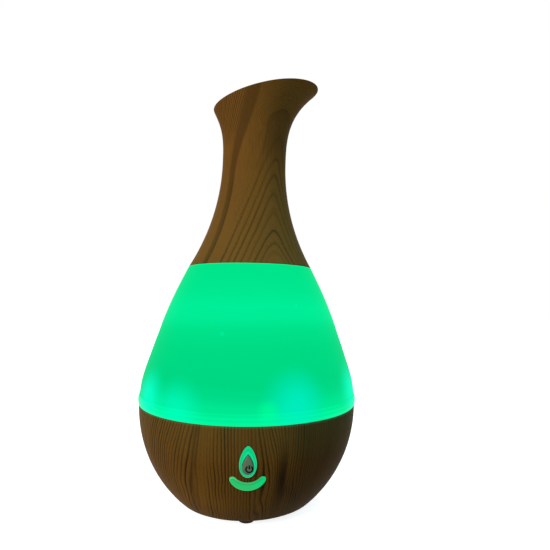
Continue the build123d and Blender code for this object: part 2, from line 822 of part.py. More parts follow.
# Fan frame: square housing with a round bore and a motor plate on three struts.
with BuildPart() as fan_frame:
    with BuildSketch(Plane.XY.offset(fan_z)):
        RectangleRounded(fan_size, fan_size, fan_corner)
        Circle(fan_bore_radius, mode=Mode.SUBTRACT)
        with GridLocations(fan_hole_distance, fan_hole_distance, 2, 2):
            Circle(fan_hole_radius, mode=Mode.SUBTRACT)
    extrude(amount=fan_thickness)
    with BuildSketch(Plane.XY.offset(fan_z)):
        Circle(motor_plate_radius)
        strut_length = (fan_bore_radius + fan_size / 2) / 2
        with PolarLocations(strut_length / 2, strut_count, start_angle=strut_angle):
            Rectangle(strut_length, strut_width)
    extrude(amount=motor_plate_thickness)
    with BuildSketch(Plane.XY.offset(motor_plate_z)):
        Circle(bearing_tube_radius)
        Circle(bearing_radius + press_gap, mode=Mode.SUBTRACT)
    extrude(amount=bearing_length)
fan_frame.part.label = "fan_frame"
export_step(fan_frame.part, "parts/fan_frame.step")

with BuildPart() as fan_bearing:
    with BuildSketch(Plane.XY.offset(motor_plate_z)):
        Circle(bearing_radius)
        Circle(shaft_radius + running_gap, mode=Mode.SUBTRACT)
    extrude(amount=bearing_length)
fan_bearing.part.label = "fan_bearing"
export_step(fan_bearing.part, "parts/fan_bearing.step")

# Fan stator: coil core with four poles, pushed on the bearing tube.
pole_reach = stator_radius - bearing_tube_radius
with BuildPart() as fan_stator:
    with BuildSketch(Plane.XY.offset(motor_plate_z)):
        Circle(bearing_tube_radius + pole_reach / 2)
        with PolarLocations(bearing_tube_radius + pole_reach / 2, stator_poles):
            Rectangle(pole_reach, pole_width)
        Circle(bearing_tube_radius + press_gap, mode=Mode.SUBTRACT)
    extrude(amount=stator_height)
fan_stator.part.label = "fan_stator"
export_step(fan_stator.part, "parts/fan_stator.step")

# Fan rotor: cup-shaped hub with seven blades whose pitch falls off towards the tip.
blade_z = rotor_z + hub_height / 2
blade_root = hub_radius - hub_wall / 2
blade_tip = fan_bore_radius - blade_tip_gap
with BuildPart() as blade:
    for reach, chord, pitch in (
        (blade_root, blade_root_chord, blade_root_pitch),
        (blade_tip, blade_tip_chord, blade_tip_pitch),
    ):
        with BuildSketch(Plane(origin=(reach, 0, blade_z), x_dir=(0, 1, 0), z_dir=(1, 0, 0))):
            Rectangle(chord, blade_thickness, rotation=pitch)
    loft()
with BuildPart() as fan_rotor:
    with BuildSketch(Plane.XY.offset(rotor_z)):
        Circle(hub_radius)
    extrude(amount=hub_height)
    fillet(fan_rotor.edges().group_by(Axis.Z)[-1], hub_wall / 2)
    with BuildSketch(Plane.XY.offset(rotor_z)):
        Circle(hub_radius - hub_wall)
    extrude(amount=hub_height - hub_top, mode=Mode.SUBTRACT)
    with BuildSketch(Plane.XY.offset(motor_plate_z + bearing_length + fit_gap)):
        Circle(hub_boss_radius)
    extrude(amount=hub_top_z - hub_top / 2 - motor_plate_z - bearing_length - fit_gap)
    with BuildSketch(Plane.XY.offset(rotor_z)):
        Circle(shaft_radius + press_gap)
    extrude(amount=hub_height - hub_top / 2, mode=Mode.SUBTRACT)
    with PolarLocations(0, blade_count):
        add(blade.part)
fan_rotor.part.label = "fan_rotor"
export_step(fan_rotor.part, "parts/fan_rotor.step")

with BuildPart() as fan_shaft:
    with BuildSketch(Plane.XY.offset(motor_plate_z + fit_gap)):
        Circle(shaft_radius)
    extrude(amount=hub_top_z - hub_top / 2 - motor_plate_z - fit_gap)
fan_shaft.part.label = "fan_shaft"
export_step(fan_shaft.part, "parts/fan_shaft.step")

magnet_outer = hub_radius - hub_wall - press_gap
with BuildPart() as fan_magnet:
    with BuildSketch(Plane.XY.offset(rotor_z)):
        Circle(magnet_outer)
        Circle(magnet_outer - magnet_wall, mode=Mode.SUBTRACT)
    extrude(amount=hub_height - hub_top)
fan_magnet.part.label = "fan_magnet"
export_step(fan_magnet.part, "parts/fan_magnet.step")

# Fan screws: they pass through the frame's corners into the posts of the bottom cover.
with BuildPart() as fan_screws:
    with BuildSketch(Plane.XY.offset(cover_top_z)):
        with GridLocations(fan_hole_distance, fan_hole_distance, 2, 2):
            Circle(fan_screw_radius)
    extrude(amount=fan_standoff + fan_thickness)
    with BuildSketch(Plane.XY.offset(fan_top_z)):
        with GridLocations(fan_hole_distance, fan_hole_distance, 2, 2):
            Circle(fan_head_radius)
    extrude(amount=fan_head_height)
fan_screws.part.label = "fan_screws"
export_step(fan_screws.part, "parts/fan_screws.step")

# Driver board: it stands on the bottom cover, between the two rails.
with BuildPart() as main_board:
    with BuildSketch(Plane.YZ.offset(main_board_x)):
        with Locations((0, main_board_z + main_board_height / 2)):
            Rectangle(2 * main_board_half_width, main_board_height)
    extrude(amount=main_board_thickness)
main_board.part.label = "main_board"
export_step(main_board.part, "parts/main_board.step")


def board_place(spot):
    """Place of a spot in the plane of the driver board."""
    return (spot[0], main_board_z + spot[1])


# Driver coil and capacitors, on the outer side of the driver board.
coil_place = board_place(coil_spot)
with BuildPart() as driver_coil:
    with BuildSketch(Plane.YZ.offset(main_board_face)):
        with Locations(coil_place):
            Circle(coil_waist)
    extrude(amount=coil_length)
    for level in (main_board_face, main_board_face + coil_length - coil_flange):
        with BuildSketch(Plane.YZ.offset(level)):
            with Locations(coil_place):
                Circle(coil_radius)
        extrude(amount=coil_flange)
driver_coil.part.label = "driver_coil"
export_step(driver_coil.part, "parts/driver_coil.step")

with BuildPart() as driver_capacitors:
    with BuildSketch(Plane.YZ.offset(main_board_face)):
        with Locations(*[board_place(spot) for spot in capacitor_spots]):
            Circle(capacitor_radius)
    extrude(amount=capacitor_length)
    fillet(driver_capacitors.edges().group_by(Axis.X)[-1], capacitor_edge_round)
driver_capacitors.part.label = "driver_capacitors"
export_step(driver_capacitors.part, "parts/driver_capacitors.step")

transistor_place = board_place(transistor_spot)
with BuildPart() as power_transistor:
    with BuildSketch(Plane.YZ.offset(main_board_face)):
        with Locations(transistor_place):
            Rectangle(transistor_length, transistor_height)
    extrude(amount=transistor_thickness)
power_transistor.part.label = "power_transistor"
export_step(power_transistor.part, "parts/power_transistor.step")

# Heat sink: comb of fins on the transistor.
sink_x = main_board_face + transistor_thickness
fin_pitch = (sink_length - fin_thickness) / (fin_count - 1)
with BuildPart() as heat_sink:
    with BuildSketch(Plane.YZ.offset(sink_x)):
        with Locations(transistor_place):
            Rectangle(sink_length, sink_height)
    extrude(amount=sink_base)
    with BuildSketch(Plane.YZ.offset(sink_x + sink_base)):
        with Locations(transistor_place):
            with GridLocations(fin_pitch, sink_height, fin_count, 1):
                Rectangle(fin_thickness, sink_height)
    extrude(amount=sink_depth - sink_base)
heat_sink.part.label = "heat_sink"
export_step(heat_sink.part, "parts/heat_sink.step")

with BuildPart() as driver_chip:
    with BuildSketch(Plane.YZ.offset(main_board_face)):
        with Locations(board_place(chip_spot)):
            Rectangle(chip_length, chip_height)
    extrude(amount=chip_thickness)
driver_chip.part.label = "driver_chip"
export_step(driver_chip.part, "parts/driver_chip.step")

# Lead headers: plugs on both sides of the driver board in which the leads end.
transducer_header = board_place(transducer_spot)
button_header = board_place(button_spot)
socket_header = board_place(socket_spot)
fan_header = board_place(fan_spot)
ring_header = board_place(ring_spot)
inner_headers = [transducer_header, button_header, socket_header, fan_header]
with BuildPart() as lead_headers:
    with BuildSketch(Plane.YZ.offset(main_board_x)):
        with Locations(*inner_headers):
            Rectangle(header_size, header_size)
    extrude(amount=-header_depth)
    with BuildSketch(Plane.YZ.offset(main_board_face)):
        with Locations(ring_header):
            Rectangle(header_size, header_size)
    extrude(amount=header_depth)
lead_headers.part.label = "lead_headers"
export_step(lead_headers.part, "parts/lead_headers.step")

# Power socket: round low-voltage inlet in a pocket at the back of the bowl, held by a nut inside.
socket_back_y = socket_face_y - socket_length
socket_front_y = socket_face_y + socket_flange
with BuildPart() as power_socket:
    with BuildSketch(Plane.XZ.offset(-socket_face_y)):
        with Locations((0, socket_height)):
            Circle(socket_barrel_radius)
    extrude(amount=socket_length)
    with BuildSketch(Plane.XZ.offset(-socket_face_y)):
        with Locations((0, socket_height)):
            Circle(socket_flange_radius)
    extrude(amount=-socket_flange)
    with BuildSketch(Plane.XZ.offset(-socket_front_y)):
        with Locations((0, socket_height)):
            Circle(socket_bore)
    extrude(amount=socket_bore_depth, mode=Mode.SUBTRACT)
power_socket.part.label = "power_socket"
export_step(power_socket.part, "parts/power_socket.step")

with BuildPart() as socket_pin:
    with BuildSketch(Plane.XZ.offset(-(socket_front_y - socket_bore_depth))):
        with Locations((0, socket_height)):
            Circle(socket_pin_radius)
    extrude(amount=-socket_pin_length)
    fillet(socket_pin.edges().group_by(Axis.Y)[-1], socket_pin_radius / 2)
socket_pin.part.label = "socket_pin"
export_step(socket_pin.part, "parts/socket_pin.step")

with BuildPart() as socket_nut:
    with BuildSketch(Plane.XZ.offset(-socket_inner_y)):
        with Locations((0, socket_height)):
            RegularPolygon(nut_radius, nut_sides)
            Circle(socket_barrel_radius + thread_gap, mode=Mode.SUBTRACT)
    extrude(amount=nut_thickness)
socket_nut.part.label = "socket_nut"
export_step(socket_nut.part, "parts/socket_nut.step")

# Leads: two-core leads inside the base, each along straight runs joined by wide arcs.
lead_face = main_board_x - header_depth
run_up_face = lead_face - lead_run_up
ring_lead_x = ring_screw_distance - ring_lead_inset
button_lead_end = board_back_depth + button_lead_reach
lead_routes = {
    "transducer_lead": [
        (0, 0, transducer_z),
        (0, 0, transducer_header[1]),
        (lead_face, *transducer_header),
    ],
    "button_lead": [
        tuple(button_plane(board_back_depth).from_local_coords(Vector(button_lead_spot))),
        tuple(button_plane(button_lead_end).from_local_coords(Vector(button_lead_spot))),
        (*button_lead_bend, clamp_z - small_head_height - button_lead_drop),
        (run_up_face, *button_header),
        (lead_face, *button_header),
    ],
    "socket_lead": [
        (0, socket_back_y, socket_height),
        (0, socket_back_y - socket_lead_reach, socket_height),
        (*socket_lead_bend, socket_header[1] - socket_lead_fall),
        (run_up_face, *socket_header),
        (lead_face, *socket_header),
    ],
    "ring_lead": [
        (ring_lead_x, ring_header[0], board_under_z),
        (ring_lead_x, *ring_header),
        (main_board_face + header_depth, *ring_header),
    ],
    "fan_lead": [
        (fan_size / 2, *fan_header),
        (lead_face, *fan_header),
    ],
}


def lead_radii(points):
    """Bend radius at each inner point of a route, as large as its two runs allow."""
    radii = []
    for before, here, after in zip(points, points[1:], points[2:]):
        run_in = Vector(here) - Vector(before)
        run_out = Vector(after) - Vector(here)
        turn = radians(run_in.get_angle(run_out))
        radii.append(lead_bend_share * min(run_in.length, run_out.length) / tan(turn / 2))
    return radii


for lead_name, points in lead_routes.items():
    with BuildPart() as lead:
        with BuildLine() as route:
            if len(points) > 2:
                FilletPolyline(*points, radius=lead_radii(points))
            else:
                Line(*points)
        with BuildSketch(Plane(origin=route.line @ 0, z_dir=route.line % 0)):
            Circle(lead_radius)
        sweep(path=route.line)
    print(lead_name, "radii", [round(radius, 2) for radius in lead_radii(points)])
    lead.part.label = lead_name
    export_step(lead.part, f"parts/{lead_name}.step")


def shell_points(inset):
    """Points of the shell's outer face, or of a face that lies inset inside it."""
    return [
        (shell_bottom_radius - inset, bead_top_z),
        (shell_low_radius - inset, bead_top_z + shell_low_height),
        (shell_high_radius - inset, bead_top_z + shell_high_height),
        (shell_top_radius - inset, neck_seam_z),
    ]


# Light shell: milky translucent cone of the cover. It stands on the bead and carries the neck
# in a thick collar at its top.
shell_ends = [(shell_start_lean, 1), (shell_end_lean, 1)]
collar_z = neck_seam_z - collar_height
with BuildPart() as collar:
    with BuildSketch(Plane.XZ):
        with BuildLine():
            filled = Spline(*shell_points(shell_wall / 2), tangents=shell_ends)
            Polyline(filled @ 1, (0, neck_seam_z), (0, bead_top_z), filled @ 0)
        make_face()
    revolve(axis=Axis.Z)
    with BuildSketch(Plane.XY.offset(collar_z)):
        Circle(shell_bottom_radius)
    extrude(amount=collar_height, mode=Mode.INTERSECT)
with BuildPart() as light_shell:
    with BuildSketch(Plane.XZ):
        with BuildLine():
            outside = Spline(*shell_points(0), tangents=shell_ends)
            inside = Spline(*shell_points(shell_wall), tangents=shell_ends)
            Line(outside @ 0, inside @ 0)
            Line(outside @ 1, inside @ 1)
        make_face()
    revolve(axis=Axis.Z)
    add(collar.part)
    with BuildSketch(Plane.XY.offset(collar_z)):
        Circle(spigot_radius + fit_gap)
    extrude(amount=collar_height, mode=Mode.SUBTRACT)
    fillet(light_shell.edges().group_by(Axis.Z)[0].sort_by(SortBy.RADIUS)[-1], shell_edge_round)
light_shell.part.label = "light_shell"
export_step(light_shell.part, "parts/light_shell.step")


def neck_share(height):
    """How far a height lies between the waist, 0, and the lip, 1."""
    return max(0.0, (height - waist_height) / (lip_height - waist_height))


def neck_plane(height):
    """Plane of the neck's section at a height over the neck seam; above the waist it tips back."""
    share = neck_share(height)
    lean = neck_slope * height + (lip_lean - neck_slope * lip_height) * share ** lean_power
    tilt = radians(lip_tilt * share ** tilt_power)
    centre = (lean, 0, neck_seam_z + height)
    return Plane(origin=centre, x_dir=(cos(tilt), 0, sin(tilt)), z_dir=(-sin(tilt), 0, cos(tilt)))


def neck_axes(height, inset):
    """Half length and half width of the neck's section at a height over the neck seam."""
    if height < waist_height:
        rise = waist_height - height
        radius = waist_radius + neck_arc_radius - sqrt(neck_arc_radius ** 2 - rise ** 2)
        return radius - inset, radius - inset
    share = neck_share(height)
    half_length = waist_radius + (lip_half_length - waist_radius) * share ** flare_power
    half_width = waist_radius + (lip_half_width - waist_radius) * share ** (flare_power - 1)
    return half_length - inset, half_width - inset


# Neck and spout: one hollow moulding with a printed wood grain. Round sections narrow to the waist,
# then widen into tilted ovals up to the lip. A spigot below plugs into the shell's collar.
waist_heights = [share * waist_height for share in waist_shares]
spout_heights = [waist_height + share * (lip_height - waist_height) for share in spout_shares]
with BuildPart() as neck_spout:
    for heights in (waist_heights, spout_heights):
        for height in heights:
            with BuildSketch(neck_plane(height)):
                Ellipse(*neck_axes(height, 0))
        loft()
    for heights in (waist_heights, spout_heights):
        for height in heights:
            with BuildSketch(neck_plane(height)):
                Ellipse(*neck_axes(height, neck_wall))
        loft(mode=Mode.SUBTRACT)
    lip_face = neck_spout.faces().filter_by(GeomType.PLANE).sort_by(Axis.Z)[-1]
    fillet(lip_face.edges(), rim_round)
    with BuildSketch(Plane.XY.offset(neck_seam_z)):
        Circle(neck_axes(neck_wall, neck_wall / 2)[0])
        Circle(spigot_radius - spigot_wall, mode=Mode.SUBTRACT)
    extrude(amount=neck_wall)
    with BuildSketch(Plane.XY.offset(collar_z)):
        Circle(spigot_radius)
        Circle(spigot_radius - spigot_wall, mode=Mode.SUBTRACT)
    extrude(amount=collar_height)
neck_spout.part.label = "neck_spout"
export_step(neck_spout.part, "parts/neck_spout.step")
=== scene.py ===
import math
from functools import partial

import bmesh
import bpy
from mathutils import Matrix, Vector, noise


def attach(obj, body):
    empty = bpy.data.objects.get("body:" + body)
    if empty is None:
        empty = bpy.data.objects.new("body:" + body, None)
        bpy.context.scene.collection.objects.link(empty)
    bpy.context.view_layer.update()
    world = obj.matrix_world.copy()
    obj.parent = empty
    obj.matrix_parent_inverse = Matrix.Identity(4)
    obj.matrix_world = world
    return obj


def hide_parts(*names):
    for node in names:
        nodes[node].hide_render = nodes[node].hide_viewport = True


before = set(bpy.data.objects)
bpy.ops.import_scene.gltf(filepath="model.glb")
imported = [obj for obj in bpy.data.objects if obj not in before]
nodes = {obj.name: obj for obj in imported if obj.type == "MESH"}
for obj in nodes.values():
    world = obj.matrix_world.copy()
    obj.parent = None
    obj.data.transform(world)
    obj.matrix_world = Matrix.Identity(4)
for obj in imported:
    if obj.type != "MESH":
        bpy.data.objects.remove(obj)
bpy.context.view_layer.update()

# Base bowl: the injection-moulded ABS bowl that everything else is built into. A wood grain is printed on its
# outside under satin lacquer. It has windows for the two buttons in front and a pocket for the socket behind.
MM = 0.001
BASE_Z = 2.0
SEAM_Z = 46.3
BOWL_FOOT_RADIUS = 31.6
BOWL_SEAM_RADIUS = 51.6
BOWL_WALL = 2.4
BOWL_FOOT_ROUND = 0.8
COVER_OPENING_RADIUS = 29.7
COVER_LIP_RADIUS = 27.8
COVER_LIP_Z = (4.0, 6.0)
BOWL_ROWS = 72
BOWL_INSIDE_ROWS = 12
BOWL_STEPS = 288

bowl_flare = BOWL_SEAM_RADIUS - BOWL_FOOT_RADIUS
bowl_height = SEAM_Z - BASE_Z
bowl_arc_radius = (bowl_flare ** 2 + bowl_height ** 2) / (2 * bowl_flare)
bowl_arc_centre = BOWL_SEAM_RADIUS - bowl_arc_radius


def bowl_radius(z, proud=0.0):
    """Radius of the bowl's outer face at height z, or of a face that stands proud of it."""
    return bowl_arc_centre + math.sqrt((bowl_arc_radius + proud) ** 2 - (SEAM_Z - z) ** 2)


def add_object(name, data):
    """Adds an object to the scene."""
    added = bpy.data.objects.new(name, data)
    bpy.context.scene.collection.objects.link(added)
    return added


def smooth(piece, degrees):
    """Shades a piece smooth between its sharper edges."""
    piece.data.shade_smooth()
    piece.data.set_sharp_from_angle(angle=math.radians(degrees))


def new_piece(name, points, faces, smooth_angle=40.0):
    """A mesh object at the origin from points in millimetres, merged, facing outwards and smooth."""
    mesh = bpy.data.meshes.new(name)
    mesh.from_pydata([Vector(p) * MM for p in points], [], faces)
    form = bmesh.new()
    form.from_mesh(mesh)
    bmesh.ops.remove_doubles(form, verts=form.verts, dist=1e-6)
    bmesh.ops.recalc_face_normals(form, faces=form.faces)
    form.to_mesh(mesh)
    form.free()
    piece = add_object(name, mesh)
    smooth(piece, smooth_angle)
    return piece


def turned_piece(name, profile, steps, origin=(0, 0, 0), along=(0, 0, 1)):
    """A closed profile of (radius, distance along the axis) turned about an axis through origin."""
    axis = Vector(along)
    side = Vector((1, 0, 0)) if abs(axis.x) < 0.5 else Vector((0, 1, 0))
    other = axis.cross(side)
    count = len(profile)
    points, faces = [], []
    for step in range(steps):
        angle = 2 * math.pi * step / steps
        out = side * math.cos(angle) + other * math.sin(angle)
        points += [Vector(origin) + out * r + axis * z for r, z in profile]
        here, there = step * count, (step + 1) % steps * count
        for row in range(count):
            after = (row + 1) % count
            faces.append((here + row, there + row, there + after, here + after))
    return new_piece(name, points, faces)


def rod(radius, start, end):
    """Profile of a plain rod."""
    return [(radius, start), (radius, end), (0.0, end), (0.0, start)]


def as_plain_mesh(piece):
    """Replaces a piece's mesh by what its modifiers make of it, and removes them."""
    bpy.context.view_layer.update()
    seen = piece.evaluated_get(bpy.context.evaluated_depsgraph_get())
    mesh = bpy.data.meshes.new_from_object(seen)
    piece.modifiers.clear()
    piece.data = mesh


def carve(piece, operation, tools):
    """Joins or cuts a piece with other shapes, which are then removed."""
    for tool in tools:
        cut = piece.modifiers.new(tool.name, "BOOLEAN")
        cut.operation = operation
        cut.solver = "EXACT"
        cut.object = tool
    as_plain_mesh(piece)
    for tool in tools:
        bpy.data.objects.remove(tool)


bowl_profile = [
    (BOWL_FOOT_RADIUS - BOWL_FOOT_ROUND + BOWL_FOOT_ROUND * math.sin(a) * 0.75,
     BASE_Z + BOWL_FOOT_ROUND * (1 - math.cos(a)) * 0.55)
    for a in (0.0, 0.5, 1.0)
]
for row in range(BOWL_ROWS + 1):
    height = BASE_Z + BOWL_FOOT_ROUND + (bowl_height - BOWL_FOOT_ROUND) * row / BOWL_ROWS
    bowl_profile.append((bowl_radius(height), height))
for row in range(BOWL_INSIDE_ROWS + 1):
    height = SEAM_Z + (COVER_LIP_Z[1] - SEAM_Z) * row / BOWL_INSIDE_ROWS
    bowl_profile.append((bowl_radius(height, -BOWL_WALL), height))
bowl_profile += [
    (COVER_LIP_RADIUS, COVER_LIP_Z[1]),
    (COVER_LIP_RADIUS, COVER_LIP_Z[0]),
    (COVER_OPENING_RADIUS, COVER_LIP_Z[0]),
    (COVER_OPENING_RADIUS, BASE_Z),
]
bowl = turned_piece("bowl", bowl_profile, BOWL_STEPS)

# The buttons lie on a plane that touches the bowl where it leans by this angle.
BUTTON_TILT = math.radians(18.0)
button_z = SEAM_Z - bowl_arc_radius * math.sin(BUTTON_TILT)
button_origin = Vector((0, -bowl_radius(button_z), button_z))
button_out = Vector((0, -math.cos(BUTTON_TILT), -math.sin(BUTTON_TILT)))
button_up = Vector((0, -math.sin(BUTTON_TILT), math.cos(BUTTON_TILT)))


def on_plane(u, w, depth):
    """Point at (u, w) of the button plane, depth below it."""
    return button_origin + Vector((u, 0, 0)) + button_up * w - button_out * depth


def bezier(a, b, c, d, share):
    """Point on a cubic curve."""
    left = 1 - share
    weights = (left ** 3, 3 * left * left * share, 3 * left * share * share, share ** 3)
    return tuple(sum(weight * p[i] for weight, p in zip(weights, (a, b, c, d))) for i in (0, 1))


# Each drop: half width, height of its widest line, bottom, top and roundness of its tip.
BEZEL_DROP = (3.4, 3.4, -1.8, 11.15, 1.25)
KEY_DROP = (2.22, 2.0, -0.72, 7.6, 0.35)
DROP_POINTS = 64


def drop_outline(drop, grow=0.0):
    """Drop on the button plane: half an ellipse below its widest line and a pointed crown above it."""
    half_width, widest, bottom, top, tip = drop
    side, crown = half_width + grow, top + grow
    shoulder = widest + 0.5 * (crown - widest)
    below = widest - bottom + grow
    quarter = DROP_POINTS // 4
    angles = [math.pi + math.pi * i / (2 * quarter) for i in range(2 * quarter)]
    outline = [(side * math.cos(a), widest + below * math.sin(a)) for a in angles]
    for curve in (
        ((side, widest), (side, shoulder), (tip, crown), (0, crown)),
        ((0, crown), (-tip, crown), (-side, shoulder), (-side, widest)),
    ):
        outline += [bezier(*curve, i / quarter) for i in range(quarter)]
    return outline


SMILE_CAP = (5.8, -3.2)
SMILE_CAP_RADIUS = 1.25
SMILE_BOTTOM = -8.2
SMILE_INNER = -4.5
SMILE_POINTS = 22


def arc(u, w, radius, start, turn, count):
    """Points on an arc about (u, w), without its end."""
    angles = [start + turn * i / count for i in range(count)]
    return [(u + radius * math.cos(a), w + radius * math.sin(a)) for a in angles]


def smile_outline(grow=0.0):
    """Crescent on the button plane whose two long arcs run tangent into round ends."""
    cap_u, cap_w = SMILE_CAP
    cap_radius = SMILE_CAP_RADIUS + grow
    low, high = SMILE_BOTTOM - grow, SMILE_INNER + grow
    rise, dip = cap_w - low, cap_w - high
    outer_radius = (cap_u ** 2 + rise ** 2 - cap_radius ** 2) / (2 * (rise - cap_radius))
    inner_radius = (cap_u ** 2 + dip ** 2 - cap_radius ** 2) / (2 * (dip + cap_radius))
    outer_half = math.atan2(cap_u, low + outer_radius - cap_w)
    inner_half = math.atan2(cap_u, high + inner_radius - cap_w)
    cap_turn = math.pi + inner_half - outer_half
    down = math.pi / 2
    outline = arc(0, low + outer_radius, outer_radius, -outer_half - down, 2 * outer_half, 2 * SMILE_POINTS)
    outline += arc(cap_u, cap_w, cap_radius, outer_half - down, cap_turn, SMILE_POINTS)
    outline += arc(0, high + inner_radius, inner_radius, inner_half - down, -2 * inner_half, 2 * SMILE_POINTS)
    return outline + arc(-cap_u, cap_w, cap_radius, down - inner_half, cap_turn, SMILE_POINTS)


WINDOW_DEPTHS = (6.2, -3.0)


def window_tool(name, outline):
    """Shape that cuts an outline of the button plane through the bowl's wall."""
    count = len(outline)
    points = [on_plane(u, w, depth) for depth in WINDOW_DEPTHS for u, w in outline]
    faces = [(i, (i + 1) % count, count + (i + 1) % count, count + i) for i in range(count)]
    faces += [tuple(range(count)), tuple(range(2 * count - 1, count - 1, -1))]
    return new_piece(name, points, faces)


PRESS_GAP = 0.02
BUTTON_GAP = 0.25
SOCKET_AXIS = ((0, 0, 14.0), (0, 1, 0))
SOCKET_BOSS_RADIUS = 8.0
SOCKET_POCKET_RADIUS = 6.0
SOCKET_FACE_Y = 37.2
SOCKET_INNER_Y = 34.0
OUTSIDE_Y = 60.0
BARREL_HOLE = (4.05, 30.0, 45.0)
BOSS_SPOTS = ((-9.2, 2.5), (9.2, 2.5))
BOSS_RADIUS = 1.9
BOSS_BORE = 0.85
BOSS_LENGTH = 8.0
BOARD_FACE_DEPTH = 9.7
CORE_LOW_Z = 6
CORE_HIGH_Z = 46
socket_boss = turned_piece("socket_boss", rod(SOCKET_BOSS_RADIUS, SOCKET_INNER_Y, OUTSIDE_Y), 96, *SOCKET_AXIS)
# The socket's boss ends inside the bowl's wall, half its thickness below the printed face.
core_profile = [(bowl_radius(z, -BOWL_WALL / 2), z) for z in range(CORE_LOW_Z, CORE_HIGH_Z + 1, 2)]
core_profile += [(0.0, CORE_HIGH_Z), (0.0, CORE_LOW_Z)]
carve(socket_boss, "INTERSECT", [turned_piece("bowl_core", core_profile, 192)])
boss_profile = [(BOSS_BORE, 0), (BOSS_RADIUS, 0), (BOSS_RADIUS, BOSS_LENGTH), (BOSS_BORE, BOSS_LENGTH)]
carve(bowl, "UNION", [socket_boss] + [
    turned_piece(f"button_boss_{i}", boss_profile, 32, on_plane(u, w, BOARD_FACE_DEPTH), button_out)
    for i, (u, w) in enumerate(BOSS_SPOTS)
])
carve(bowl, "DIFFERENCE", [
    window_tool("drop_window", drop_outline(BEZEL_DROP, PRESS_GAP)),
    window_tool("smile_window", smile_outline(BUTTON_GAP)),
    turned_piece("socket_pocket", rod(SOCKET_POCKET_RADIUS, SOCKET_FACE_Y, OUTSIDE_Y), 96, *SOCKET_AXIS),
    turned_piece("barrel_hole", rod(*BARREL_HOLE), 64, *SOCKET_AXIS),
])
smooth(bowl, 40)


def smooth_step(low, high, value):
    """0 below low, 1 above high, smooth between."""
    share = min(1.0, max(0.0, (value - low) / (high - low)))
    return share * share * (3 - 2 * share)


def bell(value, centre, width):
    """Bell curve of height 1."""
    return math.exp(-((value - centre) / width) ** 2)


KNOT_ACROSS = 14.9
KNOT_Z = 25.0
BOWL_RING_COUNT = 252
PRINT_RADIUS = 50.0


def bowl_grain(p, turn):
    """Nearly upright lines 1.25 mm apart that lean at the left, flow round a knot and leave one plain band."""
    round_back = smooth_step(1.6, 2.7, abs(turn))
    across = PRINT_RADIUS * turn * (math.hypot(p.x, p.y) / BOWL_SEAM_RADIUS) ** (0.5 * (1 - round_back))
    fall = SEAM_Z - p.z
    off_knot = across - KNOT_ACROSS + 0.02 * (KNOT_Z - p.z)
    knot = bell(off_knot, 0.0, 5.0) * bell(p.z, KNOT_Z, 11.0)
    heart = bell(p.z, KNOT_Z, 11.5) * smooth_step(-5.2, -1.2, off_knot) * (1 - smooth_step(0.3, 0.9, off_knot))
    left = 1 - smooth_step(-34.0, -8.0, across)
    lean = 6.0 * left * math.tanh(fall / 20.0) - 4.2 * bell(across, 8.5, 5.0) * math.tanh(fall / 16.0)
    plain = bell(across + 0.15 * fall, -15.4, 2.6)
    beside = bell(across + 0.15 * fall, -19.6, 1.3)
    wave = noise.noise(Vector((p.x * 0.07, p.y * 0.07, p.z * 0.025)))
    fine = noise.noise(Vector((p.x * 0.3 + 7, p.y * 0.3, p.z * 0.06)))
    group = noise.noise(Vector((p.x * 0.16, p.y * 0.16 + 3, p.z * 0.02)))
    # Painted shade: the right side, turned from the key lamp, is darker and its lines a little weaker.
    right = smooth_step(10.0, 24.0, across) * (1 - round_back)
    flow = (1 - round_back) * (lean + 0.3 * (across - 24.0) * smooth_step(18.0, 30.0, across))
    flow -= (1 - round_back) * 0.16 * (across + 20.0) * (1 - smooth_step(-26.0, -18.0, across))
    bend = 1.2 * math.tanh(off_knot / 1.6) * knot
    ring = (across + flow + bend) / (2 * math.pi * PRINT_RADIUS / BOWL_RING_COUNT) + 0.8 * wave + 0.4 * fine
    bite = (0.85 + (0.45 - 0.3 * left) * group + 0.1 * left) * (1 - 0.8 * plain) * (1 - 0.1 * right)
    shade = 0.85 * heart + 0.3 * beside + 0.12 * max(0.0, group) + 0.5 * right * (1 - heart)
    # Painted light: the lower left, where light from the floor falls, stays lighter; the rest is darker, the top
    # 14 mm a little more.
    painted_low_left_light = smooth_step(16.0, 36.0, fall) * (1 - smooth_step(-18.0, 2.0, across))
    ground = 0.27 * (1 - painted_low_left_light) + 0.05 * (1 - smooth_step(0.0, 14.0, fall))
    return ring, max(0.0, min(1.0, bite)), 1 - (1 - min(0.95, shade)) * (1 - ground)


WOOD_LAYERS = ("ring", "bite", "shade")


def wood_lines(piece, field):
    """Stores at each face corner its place among the growth rings, the lines' strength, and the print's shade
    with painted shade and light.
    """
    layers = [piece.data.attributes.new(name, "FLOAT", "CORNER") for name in WOOD_LAYERS]
    for face in piece.data.polygons:
        middle = math.atan2(face.center.x, -face.center.y)
        for corner in face.loop_indices:
            p = piece.data.vertices[piece.data.loops[corner].vertex_index].co / MM
            turn = math.atan2(p.x, -p.y)
            turn += 2 * math.pi * round((middle - turn) / (2 * math.pi))
            for layer, value in zip(layers, field(p, turn)):
                layer.data[corner].value = value


def coat(piece, material):
    """Gives a piece one material all over."""
    piece.data.materials.clear()
    piece.data.materials.append(material)
    for face in piece.data.polygons:
        face.material_index = 0


def linear(value):
    """A socket's value: an sRGB hex colour turned to linear, anything else as it is."""
    if not isinstance(value, str):
        return value
    shades = [int(value[i:i + 2], 16) / 255 for i in (1, 3, 5)]
    return [s / 12.92 if s <= 0.04045 else ((s + 0.055) / 1.055) ** 2.4 for s in shades] + [1.0]


